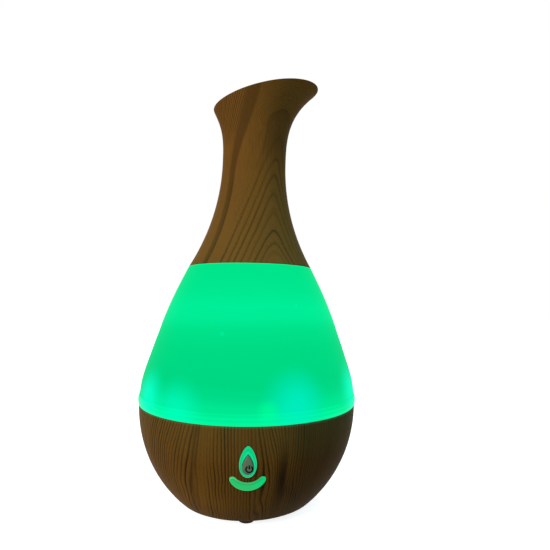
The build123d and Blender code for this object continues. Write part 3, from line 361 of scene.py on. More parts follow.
def add_node(tree, kind, sockets=(), operation=None, out=0, stops=(), **settings):
    """Adds a node and gives its output. Its sockets, in order or by name, take values or links from outputs."""
    node = tree.nodes.new(kind if "Node" in kind else f"ShaderNode{kind}")
    if operation:
        node.operation = operation
    for name, value in settings.items():
        setattr(node, name, value)
    for i, (position, colour) in enumerate(stops):
        marks = node.color_ramp.elements
        mark = marks[i] if i < 2 else marks.new(position)
        mark.position, mark.color = position, linear(colour)
    for key, given in sockets.items() if isinstance(sockets, dict) else enumerate(sockets):
        for value in given if isinstance(given, list) else [given]:
            if isinstance(value, bpy.types.NodeSocket):
                tree.links.new(value, node.inputs[key])
            else:
                node.inputs[key].default_value = linear(value)
    return node.outputs[out] if len(node.outputs) else node


def new_material(name):
    """An empty material, add_node for its tree, and the place on the piece that its patterns follow."""
    material = bpy.data.materials.new(name)
    material.use_nodes = True
    material.node_tree.nodes.clear()
    add = partial(add_node, material.node_tree)
    return material, add, add("TexCoord", out="Object")


def close_material(add, **sockets):
    """Ends a material's tree in one Principled shader, whose sockets are set by name."""
    shader = add("BsdfPrincipled", {key.replace("_", " "): value for key, value in sockets.items()})
    add("OutputMaterial", {"Surface": shader})


LINE_LEVELS = ((0.0, 0.3), (0.1, 0.0), (0.42, 0.04), (0.62, 0.4), (0.78, 1.0), (0.92, 1.0), (1.0, 0.3))
THIN_EDGE = 1.1


def wood_print(name, light, mid, dark, seam_z, fade_z, painted_glow_strength, edge_light):
    """Wood grain printed on ABS under satin lacquer: dark lines on brown, fine fibres, and by the seam a painted
    green glow that stands in for the shell's green light falling on the wood."""
    material, add, place = new_material(name)
    ring, bite, shade = [add("Attribute", out="Fac", attribute_name=layer) for layer in WOOD_LAYERS]
    share = add("Math", (ring,), "FRACT")
    number = add("Math", (ring,), "FLOOR")
    chance = add("TexWhiteNoise", {"W": number}, out="Value", noise_dimensions="1D")
    greys = [(position, (level, level, level, 1)) for position, level in LINE_LEVELS]
    line = add("ValToRGB", (share,), stops=greys)
    weight = add("MapRange", (chance, 0.0, 1.0, 0.5, 1.0))
    drawn = add("Math", (line, weight), "MULTIPLY")
    drawn = add("Math", (drawn, bite), "MULTIPLY")
    # Fibres: streaks of the print about 0.3 mm wide and 12 mm long. Patches: shades some 15 mm wide.
    stretched = add("Mapping", {"Vector": place, "Scale": (3300, 3300, 80)})
    fibre = add("TexNoise", {"Vector": stretched, "Scale": 1.0, "Detail": 2.0})
    patches = add("Mapping", {"Vector": place, "Scale": (65, 65, 14)})
    patch = add("TexNoise", {"Vector": patches, "Scale": 1.0, "Detail": 1.0})
    ground = add("MixRGB", (patch, light, mid))
    marked = add("MixRGB", (drawn, ground, dark))
    # The shade darkens towards the dark colour: the print's dark zones, and on the bowl painted shade and painted
    # light.
    marked = add("MixRGB", (shade, marked, dark))
    streak = add("MapRange", (fibre, 0.3, 0.7, 0.86, 1.1))
    printed = add("MixRGB", (1.0, marked, streak), blend_type="MULTIPLY")
    rough = add("MapRange", (fibre, 0.0, 1.0, 0.5, 0.62))
    relief = add("Bump", {"Height": drawn, "Strength": 0.1, "Distance": 0.1 * MM})
    height = add("SeparateXYZ", (place,), out="Z")
    # Painted green glow: emission that fades away from the seam, in place of the shell's light on the wood.
    painted_green_glow = add("MapRange", (height, seam_z * MM, fade_z * MM, painted_glow_strength, 0.0))
    # The last millimetre below the seam, where the plastic's edge is thin, gets more of the painted glow.
    painted_edge_glow = add("MapRange", (height, (seam_z - THIN_EDGE) * MM, seam_z * MM, 0.0, edge_light))
    painted_green_glow = add("Math", (painted_green_glow, painted_edge_glow), "ADD")
    close_material(add, Base_Color=printed, Roughness=rough, Specular_IOR_Level=0.01, Normal=relief,
                   Emission_Color="#00e890", Emission_Strength=painted_green_glow)
    return material


wood_lines(bowl, bowl_grain)
coat(bowl, wood_print("wood_print_on_abs_bowl", "#734e1b", "#654215", "#190f07", SEAM_Z, 30.0, 0.012, 0.08))
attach(bowl, "base")
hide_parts("base_bowl")

# Drop bezel: clear acrylic light guide pressed into the drop-shaped window. It has a raised outer rim, a groove
# and a band that slopes to the power key, and glows green from the lamps on the board behind it.
BEZEL_DEPTH = 5.2
BEZEL_TIP = (31.0 * MM, 36.0 * MM)


def on_bowl(u, w, proud):
    """Point over (u, w) of the button plane that stands proud of the bowl's face."""
    low, high = -6.0, 12.0
    for _ in range(40):
        middle = (low + high) / 2
        p = on_plane(u, w, middle)
        if math.hypot(p.x, p.y) < bowl_radius(p.z, proud):
            high = middle
        else:
            low = middle
    return on_plane(u, w, high)


def stepped_ring(steps, outside, inside, depth):
    """Rows of points between two outlines: flat at a depth, then (share of the way in, proud of the bowl)."""
    rows = [[on_plane(u, w, depth) for u, w in outside]]
    reach = [0.0] * len(outside)
    for share, proud in steps:
        rows.append([
            on_bowl(u0 + share * (u1 - u0), w0 + share * (w1 - w0), proud)
            for (u0, w0), (u1, w1) in zip(outside, inside)
        ])
        reach += [share] * len(outside)
    return rows, reach


def joined_rows(rows):
    """Points of the rows, and the faces between each row and the next."""
    count = len(rows[0])
    faces = []
    for row in range(len(rows) - 1):
        here, there = row * count, (row + 1) * count
        faces += [(here + i, here + (i + 1) % count, there + (i + 1) % count, there + i) for i in range(count)]
    return [p for row in rows for p in row], faces


def store(piece, name, values):
    """Stores a value on each point of a piece."""
    layer = piece.data.attributes.new(name, "FLOAT", "POINT")
    for point, value in zip(layer.data, values):
        point.value = value


bezel_outside = drop_outline(BEZEL_DROP)
bezel_inside = drop_outline(KEY_DROP, BUTTON_GAP)
bezel_steps = ((0.0, 0.0), (0.03, 0.22), (0.1, 0.34), (0.22, 0.34), (0.32, 0.2), (0.45, 0.1), (0.6, 0.14),
               (0.85, 0.12), (0.97, 0.04), (1.0, -0.1))
rows, reach = stepped_ring(bezel_steps, bezel_outside, bezel_inside, BEZEL_DEPTH)
rows.append([on_plane(u, w, BEZEL_DEPTH) for u, w in bezel_inside])
points, faces = joined_rows(rows + [rows[0]])
bezel = new_piece("bezel", points, faces, 60.0)
store(bezel, "reach", reach + [1.0] * DROP_POINTS)
acrylic, add, place = new_material("lit_acrylic_bezel")
inward = add("Attribute", out="Fac", attribute_name="reach")
# The glow is the bezel's own light; its brighter rim crest and darker groove are painted highlight and painted
# shade.
rim_light = add("ValToRGB", (inward,), stops=(
    (0.0, "#2cc884"), (0.1, "#4ae49c"), (0.22, "#2cd48e"), (0.36, "#0ca668"), (0.5, "#08b874"),
    (0.66, "#10dc90"), (0.9, "#22d890"), (1.0, "#14985e")))
tip_light = add("ValToRGB", (inward,), stops=(
    (0.0, "#04d286"), (0.12, "#04e090"), (0.3, "#02d284"), (0.45, "#02ca7e"), (0.66, "#00ea94"),
    (0.9, "#00e28e"), (1.0, "#04a064")))
height = add("SeparateXYZ", (place,), out="Z")
to_tip = add("MapRange", (height, *BEZEL_TIP))
light = add("MixRGB", (to_tip, rim_light, tip_light))
cloud = add("TexNoise", {"Vector": place, "Scale": 220.0, "Detail": 1.0})
dimmer = add("MapRange", (cloud, 0.3, 0.7, 0.92, 1.0))
light = add("MixRGB", (1.0, light, dimmer), blend_type="MULTIPLY")
close_material(add, Base_Color="#01261a", Roughness=0.3, Specular_IOR_Level=0.03, Emission_Color=light,
               Emission_Strength=0.97)
coat(bezel, acrylic)
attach(bezel, "base")
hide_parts("drop_bezel")

# Power button: grey ABS key inside the bezel with a printed power sign. Its flange stops against the bezel's
# back, and its stem pushes the plunger of the switch behind it.
KEY_BACK_DEPTH = 6.4
STEM = rod(1.3, -0.6, 0.2)
key_outside = drop_outline(KEY_DROP)
key_middle = [(0.0, KEY_DROP[1] + 0.35 * max(0.0, w - KEY_DROP[1])) for u, w in key_outside]
key_steps = ((0.0, -0.1), (0.05, 0.08), (0.14, 0.18), (0.4, 0.2), (0.7, 0.21), (1.0, 0.21))
rows, reach = stepped_ring(key_steps, key_outside, key_middle, KEY_BACK_DEPTH)
points, faces = joined_rows(rows)
faces.append(tuple(range(DROP_POINTS)))
key = new_piece("power_key", points, faces, 60.0)
carve(key, "UNION", [turned_piece("stem", STEM, 40, on_plane(0, KEY_DROP[1], KEY_BACK_DEPTH), button_out)])
smooth(key, 50)
# The sign, from its middle: an open ring and a bar, whose lines fade out between two half widths.
SIGN_SPOT = (0.55, 1.9)
SIGN_RADIUS = 1.3
SIGN_LINE = (0.4 * MM, 0.26 * MM)
SIGN_OPENING = (0.6 * MM, 0.75 * MM)
SIGN_CLOSED = (0.2 * MM, 0.0)
BAR_MIDDLE = 0.85
BAR_HALF = (0.9 * MM, 0.78 * MM)
key_abs, add, place = new_material("grey_abs_key_with_print")
offset = add("VectorMath", (place, on_plane(*SIGN_SPOT, 0) * MM), "SUBTRACT")
side = add("VectorMath", (offset, (1, 0, 0)), "DOT_PRODUCT", out="Value")
rise = add("VectorMath", (offset, button_up), "DOT_PRODUCT", out="Value")
flat = add("CombineXYZ", (side, rise))
span = add("VectorMath", (flat,), "LENGTH", out="Value")
off_ring = add("Math", (span, SIGN_RADIUS * MM), "SUBTRACT")
off_ring = add("Math", (off_ring,), "ABSOLUTE")
ring_ink = add("MapRange", (off_ring, *SIGN_LINE))
aside = add("Math", (side,), "ABSOLUTE")
gap = add("MapRange", (aside, *SIGN_OPENING))
below = add("MapRange", (rise, *SIGN_CLOSED))
open_ring = add("Math", (gap, below), "MAXIMUM")
ring_ink = add("Math", (ring_ink, open_ring), "MULTIPLY")
bar_ink = add("MapRange", (aside, *SIGN_LINE))
from_bar = add("Math", (rise, BAR_MIDDLE * MM), "SUBTRACT")
from_bar = add("Math", (from_bar,), "ABSOLUTE")
bar_end = add("MapRange", (from_bar, *BAR_HALF))
bar_ink = add("Math", (bar_ink, bar_end), "MULTIPLY")
ink = add("Math", (ring_ink, bar_ink), "MAXIMUM")
grit = add("TexNoise", {"Vector": place, "Scale": 900.0, "Detail": 3.0})
grey = add("MixRGB", (grit, "#5a6b53", "#687861"))
inked = add("MixRGB", (ink, grey, "#030a07"))
relief = add("Bump", {"Height": grit, "Strength": 0.15, "Distance": 0.05 * MM})
close_material(add, Base_Color=inked, Roughness=0.5, Specular_IOR_Level=0.03, Normal=relief)
coat(key, key_abs)
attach(key, "power_button")
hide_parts("power_button")

# Light button: smile-shaped acrylic key with round edges, lit from behind. A fine groove runs along its upper
# edge, and the lamp beside its right end makes that end greener.
GROOVE_DEPTH = 0.14
GROOVE_ROW = 5
SMILE_STEM_W = -6.0
GREENER_END = (1.0 * MM, 4.5 * MM)
DIM_MIDDLE = (6.0 * MM, 3.5 * MM)
smile_outside = smile_outline()
smile_core = smile_outline(-0.95)
smile_steps = ((0.0, 0.05), (0.08, 0.26), (0.2, 0.38), (0.42, 0.4), (0.56, 0.4), (0.7, 0.4), (1.0, 0.41))
rows, reach = stepped_ring(smile_steps, smile_outside, smile_core, KEY_BACK_DEPTH)
half, loop = 2 * SMILE_POINTS, len(smile_outside)
upper = [
    smooth_step(half - 4, half + SMILE_POINTS, i) * (1 - smooth_step(2 * half + SMILE_POINTS, loop + 4, i))
    for i in range(loop)
]
for i in range(loop):
    rows[GROOVE_ROW][i] = rows[GROOVE_ROW][i] - button_out * (GROOVE_DEPTH * upper[i])
points, faces = joined_rows(rows)
faces.append(tuple(range(loop)))
# The front is closed by strips between the two long arcs and a fan at each round end.
core = len(points) - loop
for i in range(half):
    over = half + SMILE_POINTS + (half - i)
    faces.append((core + i, core + (i + 1) % loop, core + (over - 1) % loop, core + over % loop))
faces.append(tuple(core + half + i for i in range(SMILE_POINTS + 1)))
faces.append(tuple(core + (2 * half + SMILE_POINTS + i) % loop for i in range(SMILE_POINTS + 1)))
smile = new_piece("light_key", points, faces, 60.0)
store(smile, "reach", reach)
store(smile, "upper", upper * len(rows))
carve(smile, "UNION", [turned_piece("stem", STEM, 40, on_plane(0, SMILE_STEM_W, KEY_BACK_DEPTH), button_out)])
smooth(smile, 50)
smile_lit, add, place = new_material("lit_acrylic_smile")
inward = add("Attribute", out="Fac", attribute_name="reach")
above = add("Attribute", out="Fac", attribute_name="upper")
side = add("SeparateXYZ", (place,), out="X")
light = add("ValToRGB", (inward,), stops=(
    (0.0, "#46d47c"), (0.14, "#50e086"), (0.3, "#34d074"), (0.5, "#28c46c")))
greener = add("MapRange", (side, *GREENER_END))
light = add("MixRGB", (greener, light, "#00d476"))
# Painted shade: the glow is darker green along the groove.
groove = add("ValToRGB", (inward,), stops=(
    (0.4, (0, 0, 0, 1)), (0.5, (0.75, 0.75, 0.75, 1)), (0.62, (0.75, 0.75, 0.75, 1)), (0.75, (0, 0, 0, 1))))
# The upper edge faces away from the lamps behind it and is dimmer between the ends.
edge = add("MapRange", (inward, 0.42, 0.3, 0.0, 0.4))
aside = add("Math", (side,), "ABSOLUTE")
between = add("MapRange", (aside, *DIM_MIDDLE))
edge = add("Math", (edge, between), "MULTIPLY")
groove = add("Math", (groove, edge), "MAXIMUM")
groove = add("Math", (groove, above), "MULTIPLY")
light = add("MixRGB", (groove, light, "#128a48"))
close_material(add, Base_Color="#062214", Roughness=0.32, Specular_IOR_Level=0.03, Emission_Color=light,
               Emission_Strength=0.95)
coat(smile, smile_lit)
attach(smile, "light_button")
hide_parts("light_button")

# Button board: glass-fibre board under green solder mask, screwed to two bosses of the bowl. It carries two push
# switches with plungers, four chip lamps in epoxy cases and a lead in PVC insulation to the driver board.


def dress(material, *names):
    """Gives CAD nodes a material."""
    for name in names:
        nodes[name].material_slots[0].material = material


def moulded(name, light, dark, grit_mm, relief, rough):
    """Moulded plastic: the mould's spark-eroded grain as bump, and a slight change of shade with it."""
    material, add, place = new_material(name)
    grit = add("TexNoise", {"Vector": place, "Scale": 1 / (grit_mm * MM), "Detail": 3.0})
    shade = add("MixRGB", (grit, light, dark))
    finish = add("MapRange", (grit, 0.0, 1.0, rough - 0.08, rough + 0.08))
    bump = add("Bump", {"Height": grit, "Strength": relief, "Distance": grit_mm * MM * 0.2})
    close_material(add, Base_Color=shade, Roughness=finish, Specular_IOR_Level=0.35, Normal=bump)
    return material


# Copper tracks 0.6 mm wide on a 2.5 mm pitch show through the glossy mask as lighter green.
solder_mask, add, place = new_material("green_solder_mask")
turned = add("Mapping", {"Vector": place, "Rotation": (0.4, 0.3, 0.0)})
tracks = add("TexBrick", {
    "Vector": turned, "Color1": "#0c4a24", "Color2": "#0f5229", "Mortar": "#2a7a42", "Scale": 1.0,
    "Mortar Size": 0.3 * MM, "Brick Width": 7.5 * MM, "Row Height": 2.5 * MM}).node.outputs
relief = add("Bump", {"Height": tracks["Fac"], "Strength": 0.4, "Distance": 0.04 * MM})
close_material(add, Base_Color=tracks["Color"], Roughness=0.25, Specular_IOR_Level=0.4, Normal=relief)
dress(solder_mask, "button_board")
black_abs = moulded("black_abs_satin", "#1b1a19", "#100f0f", 0.25, 0.3, 0.5)
dress(black_abs, "switch_bodies")
acetal = moulded("black_acetal_plunger", "#211f1d", "#161514", 0.4, 0.1, 0.35)
dress(acetal, "power_plunger", "light_plunger")
# The lamps' yellow phosphor shows as soft spots in the white epoxy, lit green.
lamp_epoxy, add, place = new_material("lit_lamp_epoxy")
spots = add("TexNoise", {"Vector": place, "Scale": 700.0, "Detail": 1.0})
case = add("ValToRGB", (spots,), stops=((0.35, "#eef0dc"), (0.55, "#e8e4a0"), (0.75, "#f2f4e6")))
light = add("ValToRGB", (spots,), stops=((0.3, "#00a060"), (0.6, "#30f0a0"), (0.8, "#00c070")))
close_material(add, Base_Color=case, Roughness=0.3, Emission_Color=light, Emission_Strength=0.8)
dress(lamp_epoxy, "button_leds")
pvc = moulded("black_pvc_insulation", "#232221", "#151414", 0.6, 0.15, 0.42)
dress(pvc, "button_lead", "socket_lead", "transducer_lead", "ring_lead", "fan_lead")

# Screws: zinc-plated steel with a pan head, a cross recess and a rolled thread. One tree of geometry nodes makes
# them from their sizes and sets one on each place.
SCREW_SIZES = ("Head radius", "Head height", "Shank radius", "Shank length", "Thread pitch")
THREAD_PITCH = 0.55
THREAD_ROOT = 0.78


def new_tree(name, inputs):
    """A tree of geometry nodes, add_node for it, its named inputs as outputs to link, and their identifiers."""
    tree = bpy.data.node_groups.new(name, "GeometryNodeTree")
    keys = {}
    for label, kind in inputs.items():
        socket = tree.interface.new_socket(label, in_out="INPUT", socket_type=f"NodeSocket{kind}")
        keys[label] = socket.identifier
    tree.interface.new_socket("Piece", in_out="OUTPUT", socket_type="NodeSocketGeometry")
    add = partial(add_node, tree)
    return tree, add, add("NodeGroupInput").node.outputs, keys


def close_tree(add, geometry, material):
    """Ends a tree of geometry nodes in plain geometry with a material."""
    plain = add("GeometryNodeRealizeInstances", {"Geometry": geometry})
    coated = add("GeometryNodeSetMaterial", {"Geometry": plain, "Material": material})
    add("NodeGroupOutput", (coated,))


def grow(piece, tree, keys, values):
    """Puts a tree of geometry nodes on a piece and sets its inputs."""
    growing = piece.modifiers.new(tree.name, "NODES")
    growing.node_group = tree
    for name, value in values.items():
        growing[keys[name]] = value


def round_bar(add, start, end, count, sides, radius):
    """A bar of round sections along a line, with its own radius at each of them."""
    line = add("GeometryNodeCurvePrimitiveLine", {"Start": start, "End": end})
    line = add("GeometryNodeResampleCurve", {"Curve": line, "Count": count})
    section = add("GeometryNodeCurvePrimitiveCircle", {"Resolution": sides, "Radius": 1.0})
    return add("GeometryNodeCurveToMesh", {
        "Curve": line, "Profile Curve": section, "Scale": radius, "Fill Caps": True})


screw_tree, add, screw, screw_keys = new_tree("cross_head_screws", {
    "Places": "Geometry", **dict.fromkeys(SCREW_SIZES, "Float"), "Turn": "Vector", "Material": "Material"})
shank_end = add("CombineXYZ", {"Z": screw["Shank length"]})
turns = add("Math", (screw["Shank length"], screw["Thread pitch"]), "DIVIDE")
turns = add("Math", (turns, 2.0), "MULTIPLY")
index = add("GeometryNodeInputIndex")
crest = add("Math", (index, 2.0), "MODULO")
crest = add("MapRange", (crest, 0.0, 1.0, 1.0, THREAD_ROOT))
crest = add("Math", (crest, screw["Shank radius"]), "MULTIPLY")
shank = round_bar(add, (0, 0, 0), shank_end, turns, 18, crest)
head_depth = add("Math", (screw["Head height"], -1.0), "MULTIPLY")
head_top = add("CombineXYZ", {"Z": head_depth})
along_head = add("GeometryNodeSplineParameter", out="Factor")
crown = add("FloatCurve", {"Value": along_head})
crown_curve = crown.node.mapping.curves[0]
crown_curve.points[0].location = (0.0, 0.66)
crown_curve.points[1].location = (1.0, 1.0)
for spot in ((0.2, 0.87), (0.5, 1.0)):
    crown_curve.points.new(*spot)
crown.node.mapping.update()
head_size = add("Math", (crown, screw["Head radius"]), "MULTIPLY")
head = round_bar(add, head_top, (0, 0, 0), 7, 32, head_size)
slot_length, slot_width = [add("Math", (screw["Head radius"], share), "MULTIPLY") for share in (1.15, 0.26)]
# The two blades that cut the cross differ in depth, so that no two of their faces coincide.
blades = []
for x_size, y_size, share in ((slot_length, slot_width, 1.2), (slot_width, slot_length, 1.1)):
    slot_depth = add("Math", (screw["Head height"], share), "MULTIPLY")
    blade_size = add("CombineXYZ", (x_size, y_size, slot_depth))
    blade = add("GeometryNodeMeshCube", {"Size": blade_size})
    blades.append(add("GeometryNodeTransform", {"Geometry": blade, "Translation": head_top}))
slotted = add("GeometryNodeMeshBoolean", {"Mesh 1": head, "Mesh 2": blades}, "DIFFERENCE")
whole = add("GeometryNodeJoinGeometry", {"Geometry": [shank, slotted]})
facing = add("FunctionNodeEulerToRotation", {"Euler": screw["Turn"]})
placed = add("GeometryNodeInstanceOnPoints", {"Points": screw["Places"], "Instance": whole, "Rotation": facing})
close_tree(add, placed, screw["Material"])


def bare_metal(name, colour, worn, pitch_mm, rough, relief):
    """Bare metal: shade and bump in fine turned or drawn lines across the height, with the metal's own gloss."""
    material, add, place = new_material(name)
    drawn = add("Mapping", {"Vector": place, "Scale": (150, 150, 1 / (pitch_mm * MM))})
    marks = add("TexNoise", {"Vector": drawn, "Scale": 1.0, "Detail": 2.0})
    shade = add("MixRGB", (marks, colour, worn))
    finish = add("MapRange", (marks, 0.0, 1.0, rough - 0.07, rough + 0.1))
    bump = add("Bump", {"Height": marks, "Strength": relief, "Distance": 0.03 * MM})
    close_material(add, Base_Color=shade, Roughness=finish, Metallic=1.0, Normal=bump)
    return material


zinc_steel = bare_metal("zinc_plated_steel", "#b4b6b6", "#8d9092", 0.3, 0.35, 0.2)


def set_screws(node, places, turn, *sizes):
    """Replaces a CAD node of plain screws by cross-head screws on the same places, with sizes in millimetres."""
    mesh = bpy.data.meshes.new(node)
    mesh.from_pydata([Vector(p) * MM for p in places], [], [])
    piece = add_object(f"{node}_cross_head", mesh)
    values = {name: size * MM for name, size in zip(SCREW_SIZES, (*sizes, THREAD_PITCH))}
    grow(piece, screw_tree, screw_keys, {**values, "Turn": turn, "Material": zinc_steel})
    as_plain_mesh(piece)
    coat(piece, zinc_steel)
    smooth(piece, 35)
    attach(piece, "base")
    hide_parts(node)


BOARD_BACK_DEPTH = 10.9
SMALL_HEAD = (1.6, 0.9)
set_screws("button_board_screws", [on_plane(u, w, BOARD_BACK_DEPTH) for u, w in BOSS_SPOTS],
           (math.pi / 2 + BUTTON_TILT, 0, 0), *SMALL_HEAD, 0.8, 3.4)

# Power socket: black ABS barrel with a chrome-plated centre pin. It sits in the pocket at the bowl's back, and a
# turned brass nut on its thread holds it from the inside.
dress(black_abs, "power_socket")
dress(bare_metal("chrome_plated_pin", "#d4d6d8", "#b6b9bc", 0.2, 0.14, 0.1), "socket_pin")
dress(bare_metal("turned_brass", "#b99a54", "#97793c", 0.15, 0.3, 0.3), "socket_nut")

# Water tank: milky polypropylene moulding that closes the base, on a flat silicone ring in the bowl's edge. Its
# bead shows between bowl and shell, its cup holds the water, and the lamps under its deck light it green.
SPOT_DISTANCE = 50.8
SPOT_CORE = 0.5
# Its light by height in millimetres: dim in the cup, two fine lines on the bead, dimmer up the cup's wall.
TANK_GLOW = (
    (36.0, "#008a58"), (45.8, "#009a62"), (46.2, "#00f49a"), (46.9, "#00fca0"), (47.8, "#00f89e"),
    (48.15, "#00ec95"), (48.45, "#00f098"), (48.8, "#00f89d"), (49.4, "#00f49a"), (49.9, "#00e993"),
    (50.3, "#00ee96"), (51.0, "#00ec95"), (51.9, "#00e690"), (53.5, "#00b474"), (62.0, "#008e5a"),
    (88.0, "#00a468"))
# Soft spots of the lamps' light: angle from the front, height, reach, strength and colour.
LAMP_SPOTS = (
    (-57.0, 52.5, 15.0, 1.0, "#00ffc6"), (-34.0, 50.5, 15.0, 0.75, "#00fabc"),
    (21.7, 54.0, 17.0, 0.8, "#00eec4"), (8.2, 51.5, 6.0, 0.7, "#00fc98"),
    (65.0, 54.8, 15.0, 0.95, "#00ffc2"), (110.0, 54.0, 15.0, 0.9, "#00ffc0"),
    (155.0, 53.5, 15.0, 0.8, "#00f8b8"), (-160.0, 53.5, 15.0, 0.8, "#00f8b8"),
    (-115.0, 54.0, 15.0, 0.9, "#00ffc0"))


def lamp_spots(add, place, light):
    """Adds the soft spots of the lamps to the light of a milky piece."""
    for degrees, height, reach_mm, strength, colour in LAMP_SPOTS:
        turn = math.radians(degrees)
        middle = Vector((SPOT_DISTANCE * math.sin(turn), -SPOT_DISTANCE * math.cos(turn), height)) * MM
        away = add("VectorMath", (place, middle), "DISTANCE", out="Value")
        spot = add("MapRange", (away, SPOT_CORE * MM, reach_mm * MM, strength, 0.0),
                   interpolation_type="SMOOTHSTEP")
        light = add("MixRGB", (spot, light, colour))
    return light


tank_low, tank_high = TANK_GLOW[0][0], TANK_GLOW[-1][0]
tank_pp, add, place = new_material("milky_pp_tank")
flow = add("TexNoise", {"Vector": place, "Scale": 45.0, "Detail": 2.0})
height = add("SeparateXYZ", (place,), out="Z")
level = add("MapRange", (height, tank_low * MM, tank_high * MM))
light = add("ValToRGB", (level,), stops=[
    ((z - tank_low) / (tank_high - tank_low), colour) for z, colour in TANK_GLOW])
dimmer = add("MapRange", (flow, 0.3, 0.7, 0.93, 1.0))
light = add("MixRGB", (1.0, light, dimmer), blend_type="MULTIPLY")
close_material(add, Base_Color="#004e34", Roughness=0.35, Specular_IOR_Level=0.006, Specular_Tint="#00c878",
               Emission_Color=lamp_spots(add, place, light), Emission_Strength=0.97)
dress(tank_pp, "water_tank")
silicone = moulded("milky_silicone", "#d9d9d2", "#c6c7c0", 1.2, 0.1, 0.45)
dress(silicone, "deck_gasket")

# Mist maker: silvered ceramic disc in a grooved silicone ring, pressed up under the tank's floor by a white ABS
# clamp with three screws. The silver electrode leaves a rim of bare ceramic.
SILVER_EDGE = (7.6 * MM, 7.8 * MM)
disc_ceramic, add, place = new_material("silvered_ceramic_disc")
flat = add("VectorMath", (place, (1, 1, 0)), "MULTIPLY")
outward = add("VectorMath", (flat,), "LENGTH", out="Value")
bare = add("MapRange", (outward, *SILVER_EDGE))
grain = add("TexNoise", {"Vector": place, "Scale": 1500.0, "Detail": 2.0})
silver = add("MixRGB", (grain, "#c9cbc6", "#b1b4ae"))
shade = add("MixRGB", (bare, silver, "#cfc5a4"))
gloss = add("MapRange", (bare, 0.0, 1.0, 0.3, 0.6))
metal = add("MapRange", (bare, 0.0, 1.0, 0.8, 0.0))
close_material(add, Base_Color=shade, Roughness=gloss, Metallic=metal, Specular_IOR_Level=0.4)
dress(disc_ceramic, "transducer_disc")
dress(silicone, "transducer_gasket")
white_abs = moulded("white_abs_satin", "#dedfd9", "#d2d3cd", 0.3, 0.2, 0.45)
dress(white_abs, "transducer_clamp")


def round_places(distance, count, first_degrees, z):
    """Places evenly spaced on a circle about the axis."""
    angles = [math.radians(first_degrees + 360 * i / count) for i in range(count)]
    return [(distance * math.cos(a), distance * math.sin(a), z) for a in angles]


UPRIGHT = (0, 0, 0)
set_screws("clamp_screws", round_places(14.5, 3, 90, 31.5), UPRIGHT, *SMALL_HEAD, 0.9, 5.1)

# Lamp ring: ring-shaped glass-fibre board under the tank's deck with eight chip lamps, which light the tank and
# the shell. Three screws hold it.
dress(solder_mask, "led_ring_board")
dress(lamp_epoxy, "ring_leds")
set_screws("ring_board_screws", round_places(40.75, 3, 30, 40.5), UPRIGHT, *SMALL_HEAD, 0.8, 3.4)

# Fan: black frame on four posts of the bottom cover. The rotor's steel shaft turns in a sintered bronze bearing,
# round a copper winding, and carries a ring magnet inside its hub.
dress(black_abs, "fan_frame")
dress(moulded("black_pbt_rotor", "#26292b", "#1b1d1f", 0.5, 0.12, 0.38), "fan_rotor")
dress(bare_metal("ground_steel_shaft", "#bfc1c2", "#a2a5a7", 0.08, 0.22, 0.15), "fan_shaft")
dress(bare_metal("sintered_bronze", "#9a7038", "#6f4c22", 0.12, 0.5, 0.5), "fan_bearing")
dress(moulded("sintered_ferrite", "#2d2d30", "#202022", 0.2, 0.4, 0.6), "fan_magnet")
# The winding's enamelled wire is laid in level turns.
WIRE_THICKNESS = 0.3
copper_wire, add, place = new_material("enamelled_copper_wire")
turns = add("TexWave", {
    "Vector": place, "Scale": 1.0 / (WIRE_THICKNESS * MM * 3.14), "Distortion": 0.6, "Detail": 1.0},
    out="Fac", bands_direction="Z")
shade = add("ValToRGB", (turns,), stops=((0.0, "#5a2710"), (0.35, "#a3552a"), (1.0, "#c8763f")))
relief = add("Bump", {"Height": turns, "Strength": 0.6, "Distance": 0.1 * MM})
close_material(add, Base_Color=shade, Roughness=0.28, Metallic=1.0, Normal=relief)
dress(copper_wire, "fan_stator")
fan_places = [(x, y, 16.0) for x in (-12.0, 12.0) for y in (-12.0, 12.0)]
set_screws("fan_screws", fan_places, (math.pi, 0, 0), 2.1, 1.2, 1.2, 11.9)

# Driver board: it stands between two rails of the bottom cover and carries the coil, two capacitors in aluminium
# sleeves, the transistor with its heat sink, the control chip and the headers of the leads.
dress(solder_mask, "main_board")
dress(copper_wire, "driver_coil")
aluminium = bare_metal("extruded_aluminium", "#c3c6c9", "#a9adb1", 0.25, 0.32, 0.25)
dress(aluminium, "driver_capacitors", "heat_sink")
chip_epoxy = moulded("black_chip_epoxy", "#1d1e20", "#141517", 0.15, 0.25, 0.62)
dress(chip_epoxy, "driver_chip", "power_transistor")
dress(white_abs, "lead_headers")

# Bottom cover: black ABS disc with air slots for the fan, held by three long screws that also pull the tank
# down. Three rubber feet sit in round seats, one of them at the front.
dress(moulded("black_abs_spark_grain", "#272422", "#1a1817", 0.35, 0.5, 0.62), "bottom_cover")
set_screws("case_screws", round_places(21.5, 3, 60, 3.2), UPRIGHT, 2.4, 1.2, 1.4, 11.0)
dress(moulded("brown_rubber_feet", "#2a190b", "#1f1208", 0.5, 0.3, 0.78), "rubber_feet")

